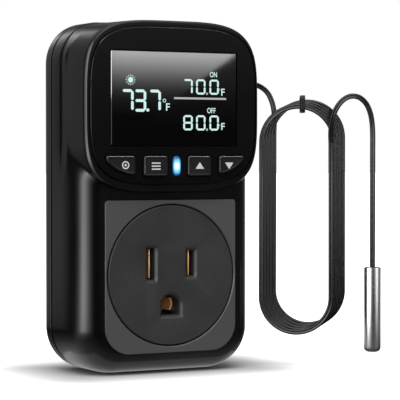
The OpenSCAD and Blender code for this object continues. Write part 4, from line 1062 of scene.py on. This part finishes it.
right, back, up = parts_of(board_tree, place)
board_tracks = sum_of("MAXIMUM", track_lines(right, 0.42), track_lines(up, 0.55))
grain, patches = marks_at(board_tree, place, 6000.0, 400.0)
board_share = sum_of("ADD", sum_of("MULTIPLY", board_tracks, 0.7), sum_of("MULTIPLY", patches, 0.3))
toned(board_tree, board_shader.inputs["Base Color"], board_share,
      (0.010, 0.085, 0.032), (0.026, 0.160, 0.062))
feed(board_tree, board_shader.inputs["Roughness"], sum_of("ADD", sum_of("MULTIPLY", patches, 0.2), 0.22))
relieved(board_tree, board_shader, board_tracks, 0.00004)

chip_black = marked_finish("Chip epoxy", (0.014, 0.014, 0.015), (0.026, 0.026, 0.028),
                           (0.50, 0.62), 7000.0, 0.012, 300.0)
tinned = marked_finish("Tinned leads", (0.46, 0.46, 0.44), (0.64, 0.64, 0.61),
                       (0.26, 0.42), 2500.0, 0.004, 500.0, metal=1.0)
plunger_cream = marked_finish("Plunger cream", (0.62, 0.56, 0.44), (0.74, 0.68, 0.57),
                              (0.38, 0.50), 3000.0, 0.006, 300.0)
connector_white = marked_finish("Connector white", (0.66, 0.64, 0.58), (0.78, 0.76, 0.70),
                                (0.36, 0.48), 3000.0, 0.008, 250.0)
fitted(
    ("control_circuit_board", "control_board", 0.10, board_green, "board_green"),
    ("controller_chip", "microcontroller", 0.05, chip_black, "chip_black"),
    ("push_switches", "switch_bases", 0.12, inner_black, "inner_black"),
)
for key, (body, _, _) in key_bodies.items():
    plunger = copied(key + "_plunger", key + "_switch_plunger", 0.15)
    dressed(plunger, plunger_cream, "plunger_cream", body=body)
fitted(("probe_socket", "probe_connector", 0.10, connector_white, "connector_white"))

# Power board
# The relay that switches the outlet, the capacitor that drops the voltage, its
# rectifier and smoothing can, the varistor and the glass fuse in its clips, and the
# copper bars that carry the outlet's current.

relay_blue = marked_finish("Relay case blue", (0.022, 0.085, 0.30), (0.034, 0.120, 0.38),
                           (0.34, 0.46), 3200.0, 0.01, 160.0)
film_yellow = marked_finish("Film capacitor yellow", (0.52, 0.33, 0.03), (0.64, 0.44, 0.06),
                            (0.26, 0.38), 3600.0, 0.006, 180.0)
sleeve_grey = marked_finish("Can sleeve", (0.030, 0.034, 0.045), (0.055, 0.060, 0.075),
                            (0.24, 0.34), 1800.0, 0.004, 220.0, coat=0.3)
varistor_blue = marked_finish("Varistor, dipped", (0.025, 0.11, 0.34), (0.05, 0.17, 0.48),
                              (0.30, 0.44), 1400.0, 0.02, 400.0)
fuse_glass = marked_finish("Fuse glass and caps", (0.55, 0.58, 0.60), (0.72, 0.76, 0.78),
                           (0.10, 0.20), 2600.0, 0.002, 250.0, metal=0.6)
fitted(
    ("power_circuit_board", "power_board", 0.10, board_green, "board_green"),
    ("outlet_relay", "relay", 0.25, relay_blue, "relay_blue"),
    ("dropper_capacitor", "film_capacitor", 0.25, film_yellow, "film_yellow"),
    ("smoothing_can", "electrolytic_capacitor", 0.08, sleeve_grey, "capacitor_grey"),
    ("surge_varistor", "varistor", 0.25, varistor_blue, "varistor_blue"),
    ("glass_fuse", "fuse", 0.10, fuse_glass, "fuse_glass"),
    ("fuse_holder_clips", "fuse_clips", 0.05, tinned, "tinned"),
    ("rectifier_bridge", "bridge_rectifier", 0.12, chip_black, "chip_black"),
    ("supply_regulator", "voltage_regulator", 0.12, chip_black, "chip_black"),
    ("board_pin_header", "board_header", 0.05, inner_black, "inner_black"),
    ("neutral_bar", "neutral_busbar", 0.08, contact_copper, "contact_copper"),
    ("line_bar", "line_busbar", 0.08, contact_copper, "contact_copper"),
)

# Cable gland
# Soft black rubber bush in the right side wall: a flange inside the case and a short
# tapering sleeve outside, ringed so that it bends with the cable.

soft_black = marked_finish("Soft rubber black", (0.010, 0.010, 0.010), (0.018, 0.018, 0.018),
                           (0.55, 0.68), 5200.0, 0.01, 260.0, specular=0.35)
gland_out, gland_z = 9.4, 52.5
sleeve_start, sleeve_ring, sleeve_taper = 28.0, 0.85, 0.16


def gland_ring(x, half_w, half_h, radius, count=48):
    angles = [2 * math.pi * (i + 0.5) / count for i in range(count)]
    outline = traced((box_edge(0.0, 0.0, 2 * half_w, 2 * half_h, radius), (0.0, 0.0), angles))
    return [(x, gland_out + a, gland_z + b) for a, b in outline]


gland_rings = [gland_ring(x, *size) for x, size in (
    (25.2, (2.5, 3.1, 0.4)), (26.0, (2.5, 3.1, 0.4)),
    (26.0, (1.65, 2.25, 0.3)), (sleeve_start, (1.65, 2.25, 0.3)),
)]
for i in range(4):
    for along, extra in ((0.02, 0.0), (0.5, 0.0), (0.58, 0.22), (0.83, 0.22)):
        size = (part - sleeve_taper * i - extra for part in (1.68, 2.28, 1.35))
        gland_rings.append(gland_ring(sleeve_start + sleeve_ring * i + along, *size))
dressed(skinned("cable_gland", gland_rings, 40.0), soft_black, "rubber_black", "cable_grommet")
core_black = marked_finish("Core insulation", (0.010, 0.010, 0.010), (0.020, 0.020, 0.020),
                           (0.34, 0.46), 2600.0, 0.005, 300.0)
fitted(("cable_cores", "probe_leads", 0.06, core_black, "cable_black"))

# Probe cable
# A limp flat twin cord in black vinyl, two round cores joined by a thin web, a little
# under 0.9 m long. It leaves the gland, hangs beside the case in a hank, and ends in
# the probe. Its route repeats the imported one, finer.

vinyl_black = marked_finish("Vinyl black, smooth", (0.0030, 0.0030, 0.0032), (0.0060, 0.0060, 0.0064),
                            (0.18, 0.24), 2800.0, 0.003, 350.0, specular=0.22)
cord_width, cord_thick = 1.6, 0.85
hank_turn, hank_right, hank_back = math.radians(28), 9.2, -28.0
hank_radius, hank_run, hank_turns_end = 10.5, 45.7, 110
hank_steps_round, arc_steps, turn_shift = 24, 10, (0.95, 1.4, 0.45)
probe_x, probe_y = 51, 13
lead_route = [
    (11, 26.8, 52.5), (12.5, 27.6, 52.5), (14.3, 28.4, 52.6), (16, 28.9, 52.6), (17.7, 28.6, 52.2),
    (19.3, 27.5, 51.2), (20.6, 25.9, 49.7), (21.5, 24.2, 47.7), (22.1, 22.7, 45.3), (22.3, 21.5, 42.8),
    (22.25, 20.6, 40.6), (22.15, 20.1, 38.9), (22.1, 20, 36.9),
]
tail_route = [
    (38.75, 13.6, 34.8), (38.65, 13.35, 37.3), (38.8, 12.9, 40), (39.35, 12.5, 42.8), (40.5, 12.2, 45.4),
    (42.35, 12, 47.5), (44.6, 12, 48.5), (47, 12.2, 48.1), (49, 12.5, 46.3), (50.2, 12.7, 43.7),
    (50.8, 12.9, 40.6),
] + [(probe_x, probe_y, z) for z in (37, 33, 28, 23, 18, 13, 8, 3, -1.9)]


def hung(p):
    """A route point (right, back, up) in the frame's millimetres, y included."""
    c, s = math.cos(hank_turn), math.sin(hank_turn)
    return Vector((hank_right + p[0] * c + p[1] * s, hank_back - p[0] * s + p[1] * c, p[2]))


def hank_point(u):
    """A place in the hank: down the left run, round the foot, up the right run, over the top."""
    k, drift, half = u % hank_steps_round, u / hank_steps_round, hank_run / 2
    if k <= 2:
        side, rise = -hank_radius, half - k * half
    elif k <= 12:
        turn = math.radians(180 + (k - 2) * 180 / arc_steps)
        side, rise = hank_radius * math.cos(turn), -half + hank_radius * math.sin(turn)
    elif k <= 14:
        side, rise = hank_radius, -half + (k - 12) * half
    else:
        turn = math.radians((k - 14) * 180 / arc_steps)
        side, rise = hank_radius * math.cos(turn), half + hank_radius * math.sin(turn)
    right, back, up = (shift * drift for shift in turn_shift)
    return (22.1 + hank_radius + side - right, 20 - back, 36.8 - half + rise - up)


def eased_route(points, spacing=0.7):
    """The route's points joined by one smooth curve."""
    places = [hung(p) for p in points]
    places = [places[0] * 2 - places[1]] + places + [places[-1] * 2 - places[-2]]
    result = []
    for a, b, c, d in zip(places, places[1:], places[2:], places[3:]):
        steps = max(2, round((c - b).length / spacing))
        for t in (i / steps for i in range(steps)):
            bend, twist = 2 * a - 5 * b + 4 * c - d, 3 * b - 3 * c + d - a
            result.append(0.5 * (2 * b + (c - a) * t + bend * t * t + twist * t * t * t))
    return result + [places[-2]]


hank_steps = []
u = 0.0
while u < hank_turns_end - 1e-6:
    hank_steps.append(u)
    k = u % hank_steps_round
    u += 0.5 if (k < 1.999 or 11.999 < k < 13.999) else 0.125
cord_path = []
for p in eased_route(lead_route) + [hung(hank_point(s)) for s in hank_steps[1:]] + eased_route(tail_route):
    if not cord_path or (p - cord_path[-1]).length > 0.12:
        cord_path.append(p)
core_radius, core_apart = cord_thick / 2, (cord_width - cord_thick) / 2
section = []
for side, start in ((1, 0), (-1, math.pi)):
    for turn in (math.radians(-132 + 264 * i / 10) + start for i in range(11)):
        section.append((side * core_apart + core_radius * math.cos(turn), core_radius * math.sin(turn)))
backwards = Vector((math.sin(hank_turn), math.cos(hank_turn), 0.0))
cord_rings = []
for before, p, after in zip(cord_path[:1] + cord_path, cord_path, cord_path[1:] + cord_path[-1:]):
    ahead = (after - before).normalized()
    across = ahead.cross(backwards).normalized()
    through = across.cross(ahead)
    cord_rings.append([(q.x, -q.y, q.z) for q in (p + across * a + through * b for a, b in section)])
probe_cord = skinned("probe_cord", cord_rings, 60.0)
dressed(probe_cord, vinyl_black, "cable_black", "probe_cable_lead", "probe_cable_hank", "probe_cable_tail")

# The tie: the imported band, drawn narrower along the cord
hank_band = copied("hank_tie", "cable_tie", 0.12)
along_cord = Vector((math.cos(hank_turn), -math.sin(hank_turn), 0.0))
band_middle = sum((v.co for v in hank_band.data.vertices), Vector()) / len(hank_band.data.vertices)
for vertex in hank_band.data.vertices:
    vertex.co -= along_cord * (0.4 * (vertex.co - band_middle).dot(along_cord))
dressed(hank_band, soft_black, "rubber_black")

# Probe
# A drawn stainless tube, closed and rounded at its tip, potted round the cord at its
# mouth; the coated bead of the thermistor sits inside the tip.

probe_steel, steel_tree, steel_shader, place = blank_finish("Probe steel, drawn", Metallic=1.0)
drawn = node_in(steel_tree, "ShaderNodeMapping", Vector=place, Scale=(1.0, 1.0, 0.02)).outputs["Vector"]
grain, patches = marks_at(steel_tree, drawn, 9000.0, 700.0)
toned(steel_tree, steel_shader.inputs["Base Color"], grain, (0.42, 0.42, 0.43), (0.62, 0.62, 0.63))
steel_rough = arithmetic(steel_tree, "ADD", arithmetic(steel_tree, "MULTIPLY", patches, 0.16), 0.20)
feed(steel_tree, steel_shader.inputs["Roughness"], steel_rough)
relieved(steel_tree, steel_shader, grain, 0.000004)
probe_centre = hung((probe_x, probe_y, 0))


def lathed_upright(name, profile, sides=64):
    """A round upright piece on the probe's axis from its profile of (radius, up)."""
    rounds = [(circle(probe_centre.x, -probe_centre.y, radius, sides), up) for radius, up in profile]
    return skinned(name, [[(x, out, up) for x, out in outline] for outline, up in rounds], 40.0)


probe_tube = lathed_upright("probe_sheath", [
    (1.9, -8.0), (1.95, -2.1), (2.2, -2.0), (2.42, -2.06), (2.5, -2.3), (2.5, -25.6),
] + [(1.2 + 1.3 * c, -25.6 - 1.4 * s) for c, s in quarter_turn(8)[1:]])
dressed(probe_tube, probe_steel, "probe_steel", "probe_tube")
potting = lathed_upright("probe_potting_bead", [
    (1.2, -8.0), (1.9, -7.9), (1.93, -2.3), (1.6, -2.05), (0.9, -2.0),
])
dressed(potting, soft_black, "rubber_black", "probe_potting")
bead_finish = marked_finish("Bead, coated", (0.04, 0.03, 0.02), (0.08, 0.06, 0.05),
                            (0.20, 0.32), 2600.0, 0.004, 400.0)
finished(nodes["thermistor_bead"], bead_finish)

# Studio
# A white floor that keeps the object's shadow and has a painted grey shade round the
# case's foot, a white surround, soft lamps, and grey and bright cards that only the
# gloss of the plastic sees, as a photographer stands them round black goods.

floor_z = case_bottom * mm
floor_half = 6
floor_mesh = bpy.data.meshes.new("studio_floor")
floor_mesh.from_pydata([
    (x * floor_half, y * floor_half, floor_z) for x, y in ((-1, -1), (1, -1), (1, 1), (-1, 1))
], [], [(0, 1, 2, 3)])
floor_white, floor_tree, floor_shader, place = blank_finish(
    "Floor white", Base_Color=(0.55, 0.55, 0.55, 1.0), Roughness=0.9, Specular_IOR_Level=0.0,
    Emission_Color=(1.0, 1.0, 1.0, 1.0))
floor_mesh.materials.append(floor_white)
shown("studio_floor", floor_mesh)
sum_of = partial(arithmetic, floor_tree)


def beyond(along, middle, half):
    """How far a place lies outside a span, in metres, squared."""
    off = sum_of("ABSOLUTE", sum_of("SUBTRACT", along, middle))
    return sum_of("POWER", sum_of("MAXIMUM", sum_of("SUBTRACT", off, half), 0.0), 2.0)


# For the camera the floor glows white further off, and the glow fades out towards the case's foot: this
# paints a grey shade round the foot, on top of the real shadow that the floor's plain paint keeps there.
# Gloss sees it light all over
right, back, up = parts_of(floor_tree, place)
floor_away = sum_of("SQRT", sum_of("ADD", beyond(right, 0.0, 0.026), beyond(back, -0.0125, 0.0125)))
seen = floor_tree.nodes.new("ShaderNodeLightPath").outputs
# No glow near the foot, which paints a grey shade round it
glow_fading_to_foot_shade = ranged(floor_tree, floor_away, (0.0, 0.030), way="SMOOTHSTEP")
camera_glow_past_foot_shade = sum_of("MULTIPLY", glow_fading_to_foot_shade, seen["Is Camera Ray"])
feed(floor_tree, floor_shader.inputs["Emission Strength"], sum_of(
    "MAXIMUM", camera_glow_past_foot_shade, sum_of("MULTIPLY", seen["Is Glossy Ray"], 0.55)))

# The surround is white to the camera, gloss and glass, and half as bright as a light
surround = bpy.context.scene.world or bpy.data.worlds.new("surround")
bpy.context.scene.world = surround
surround.use_nodes = True
sky = surround.node_tree
sky.nodes.clear()
seen = sky.nodes.new("ShaderNodeLightPath").outputs
directly = arithmetic(sky, "MAXIMUM", seen["Is Camera Ray"], arithmetic(
    sky, "MAXIMUM", seen["Is Glossy Ray"], seen["Is Transmission Ray"]))
sky_shader = node_in(sky, "ShaderNodeBackground", Color=(1.0, 1.0, 1.0, 1.0),
                     Strength=ranged(sky, directly, (0.0, 1.0), (0.5, 1.0)))
node_in(sky, "ShaderNodeOutputWorld", Surface=sky_shader.outputs[0])


object_middle, drum_radius = Vector((0.009, -0.014, 0.019)), 1.5


def lamp_way(azimuth, elevation):
    """The way from the object to a lamp; azimuth 0 is straight in front, 90 to the right."""
    a, e = math.radians(azimuth), math.radians(elevation)
    return Vector((math.sin(a) * math.cos(e), -math.cos(a) * math.cos(e), math.sin(e)))


def hung_lamp(name, kind, azimuth, elevation):
    holder = shown(name, bpy.data.lights.new(name, kind))
    way = lamp_way(azimuth, elevation)
    holder.location = object_middle + way
    holder.rotation_euler = way.to_track_quat("Z", "Y").to_euler()
    return holder


def lit_only(holder, pieces):
    """Keeps a lamp or a card to the pieces that it was hung for."""
    lit = bpy.data.collections.new(holder.name + " lights")
    for one in pieces:
        lit.objects.link(one)
    holder.light_linking.receiver_collection = lit


sky_lamp = hung_lamp("overhead_light", "SUN", -25, 66)
sky_lamp.data.energy = 2.1
sky_lamp.data.angle = math.radians(50)
key_caps = [bpy.data.objects[key + "_key_cap"] for key in key_bodies]
contact_pieces = [bpy.data.objects[name] for name in ("neutral_leaves", "line_leaves", "ground_leaves")]
# Soft boxes a metre away; each shows as a reflection of its tone in a few pieces
for name, azimuth, elevation, width, height, tone, pieces in (
    ("top_edges_light", 90, 62, 0.5, 0.5, 18.0, [front_panel, display_window] + key_caps),
    ("corner_edges_light", -49, 58, 0.35, 0.35, 24.0, [front_panel] + key_caps),
    ("left_edges_light", -62, 0, 0.3, 0.9, 18.0, [front_panel, outlet_face, outlet_plate] + key_caps),
    ("window_edge_light", -62, 17.5, 0.3, 0.5, 24.0, [display_window]),
    ("contacts_light", -32, 8, 0.4, 0.4, 20.0, contact_pieces),
    ("probe_left_light", -70, 0, 0.5, 1.0, 1.8, [probe_tube]),
    ("probe_right_light", 33, 0, 0.5, 1.0, 1.8, [probe_tube]),
    ("cord_light", -30, 8, 0.9, 0.9, 9.0, [probe_cord]),
):
    holder = hung_lamp(name, "AREA", azimuth, elevation)
    holder.data.shape = "RECTANGLE"
    holder.data.size, holder.data.size_y = width, height
    holder.data.energy = tone * math.pi * width * height
    holder.visible_camera = False
    holder.visible_diffuse = False
    lit_only(holder, pieces)


def card(name, columns, points, tones):
    """A grid of points, row by row, that only reflections see, with a tone for each point."""
    mesh = bpy.data.meshes.new(name)
    corners = [
        row * columns + column for row in range(len(points) // columns - 1) for column in range(columns - 1)
    ]
    mesh.from_pydata(points, [], [(at, at + 1, at + columns + 1, at + columns) for at in corners])
    shade = mesh.color_attributes.new("shade", "FLOAT_COLOR", "POINT")
    for i, tone in enumerate(tones):
        shade.data[i].color = (tone, tone, tone, 1.0)
    material = bpy.data.materials.new(name + " shade")
    material.use_nodes = True
    tree = material.node_tree
    tree.nodes.clear()
    read = node_in(tree, "ShaderNodeAttribute", {"attribute_name": "shade"})
    glow = node_in(tree, "ShaderNodeEmission", Color=read.outputs["Color"])
    node_in(tree, "ShaderNodeOutputMaterial", Surface=glow.outputs[0])
    mesh.materials.append(material)
    piece = shown(name, mesh)
    piece.visible_camera = False
    piece.visible_diffuse = False
    piece.visible_shadow = False
    piece.visible_transmission = False
    return piece


def between(value, stops):
    """A tone read from a list of (place, tone), eased from stop to stop."""
    if value <= stops[0][0]:
        return stops[0][1]
    for (a, low), (b, high) in zip(stops, stops[1:]):
        if value <= b:
            return low + (high - low) * softened((value - a) / (b - a))
    return stops[-1][1]


def card_round(name, azimuths, rows, place, tone):
    """A card made of rows of points, one for each azimuth."""
    spots = [(azimuth, row) for row in rows for azimuth in azimuths]
    made = card(name, len(azimuths), [place(*spot) for spot in spots], [tone(*spot) for spot in spots])
    made.data.materials[0].cycles.emission_sampling = "NONE"


def on_drum(azimuth, height):
    """A place on the round of cards that stands about the object."""
    way = lamp_way(azimuth, 0) * drum_radius
    return (object_middle.x + way.x, object_middle.y + way.y, height)


foot_middle, foot_edge = (0.0, -13.5), box_edge(0.0, -13.6, 55.0, 27.2, 2.0)


def on_floor(azimuth, away):
    """A place this many millimetres in front of the case's foot, just over the floor."""
    angle = math.radians(azimuth - 90)
    far = reach(foot_edge, foot_middle, angle, -away, 2500.0)
    return (mm * far * math.cos(angle), mm * (far * math.sin(angle) + foot_middle[1]), floor_z + 0.0004)


# Tones of the cards by azimuth, and how they change with height or with distance
around = [
    (-180, 0.42), (-160, 0.38), (-150, 0.16), (-138, 0.03), (-124, 0.05), (-115, 0.8), (-107, 3.0),
    (-98, 7.5), (-85, 7.5), (-75, 4.5), (-62, 2.2), (-50, 0.8), (-36, 0.1), (-24, 0.03), (50, 0.03),
    (75, 0.25), (110, 0.5),
]
upward = [(-0.02, 0.75), (0.25, 1.0), (0.9, 1.0), (1.3, 0.7)]
in_front = [(-8, 0.0), (8, 1.0), (48, 1.0), (66, 0.0)]
rise = [(0.07, 0.0), (0.14, 0.30), (0.20, 0.70), (0.45, 0.9)]
behind = [(110, 0.12), (158, 0.10), (168, 0.05), (174, 0.4), (180, 1.5)]
behind_left = [(-180, 1.5), (-172, 0.8), (-164, 0.0)]
behind_up = [(0.4, 0.0), (0.6, 1.0), (0.95, 1.0), (1.15, 0.0)]
outward = [(20.0, 0.04), (60.0, 0.2), (150.0, 1.0)]
near_foot = [(1.0, 0.45), (8.0, 0.30), (20.0, 0.12), (60.0, 0.0)]
front_azimuths = [2.0 * i - 180 for i in range(146)]
low_rows = [-0.031, 0.0, 0.03, 0.06, 0.09, 0.12, 0.15, 0.18, 0.22, 0.3]
high_rows = [0.4, 0.5, 0.6, 0.8, 0.95, 1.05, 1.15, 1.3, 1.47]


def drum_tone(azimuth, height):
    return (between(azimuth, around) * between(height, upward)
            + between(azimuth, in_front) * between(height, rise)
            + between(azimuth, behind_left) * between(height, behind_up))


def back_tone(azimuth, height):
    return 0.05 + between(azimuth, behind) * (between(height, behind_up) if azimuth > 168 else 1.0)


def floor_tone(azimuth, away):
    return (between(azimuth, around) * between(away, outward) + between(away, near_foot)
            + between(azimuth, in_front) * 0.10)


card_round("cards_round_object", front_azimuths, low_rows + high_rows, on_drum, drum_tone)
card_round("cards_behind_object", [110 + 2.0 * i for i in range(36)], [0.24] + high_rows, on_drum, back_tone)
floor_rows = [1.0, 8.0, 20.0, 40.0, 60.0, 150.0, 500.0, 1450.0]
card_round("cards_on_floor", front_azimuths, floor_rows, on_floor, floor_tone)

camera_at = Vector((-0.24335, -0.50119, 0.03038))
look_at = Vector((0.009192, -0.028, 0.018184))
display_card_out = 0.60


def seen_in_face(x, z):
    """Where the camera, mirrored in the front, sees through a face point to the display's card."""
    mirrored = Vector((camera_at.x, -2 * face_at * mm - camera_at.y, camera_at.z))
    point = Vector((x * mm, -face_at * mm, z * mm))
    share = (-display_card_out - mirrored.y) / (point.y - mirrored.y)
    return tuple(mirrored + (point - mirrored) * share)


# The bright upper left of the display: paler upwards, cut off along a slant
display_rows = [
    (61.2, 12.0), (60.4, 11.0), (58.2, 7.8), (56.0, 5.1), (53.7, 2.8), (51.5, 1.35), (49.2, 0.5),
    (47.0, 0.2), (44.8, 0.1), (41.0, 0.0),
]
display_card = card(
    "display_card", 2,
    [seen_in_face(x, z) for z, _ in display_rows for x in (-21.0, -8.8 + 1.482 * (z - display_rows[-1][0]))],
    [tone for _, tone in display_rows for _ in (0, 1)])
lit_only(display_card, [display_window])

camera = bpy.data.cameras.new("camera")
camera.lens, camera.sensor_width = 167.4, 36.0
camera.clip_start, camera.clip_end = 0.01, 50.0
viewer = shown("camera", camera)
viewer.location = camera_at
viewer.rotation_euler = (look_at - camera_at).to_track_quat("-Z", "Y").to_euler()
bpy.context.scene.camera = viewer
bpy.context.scene.view_settings.view_transform = "Standard"
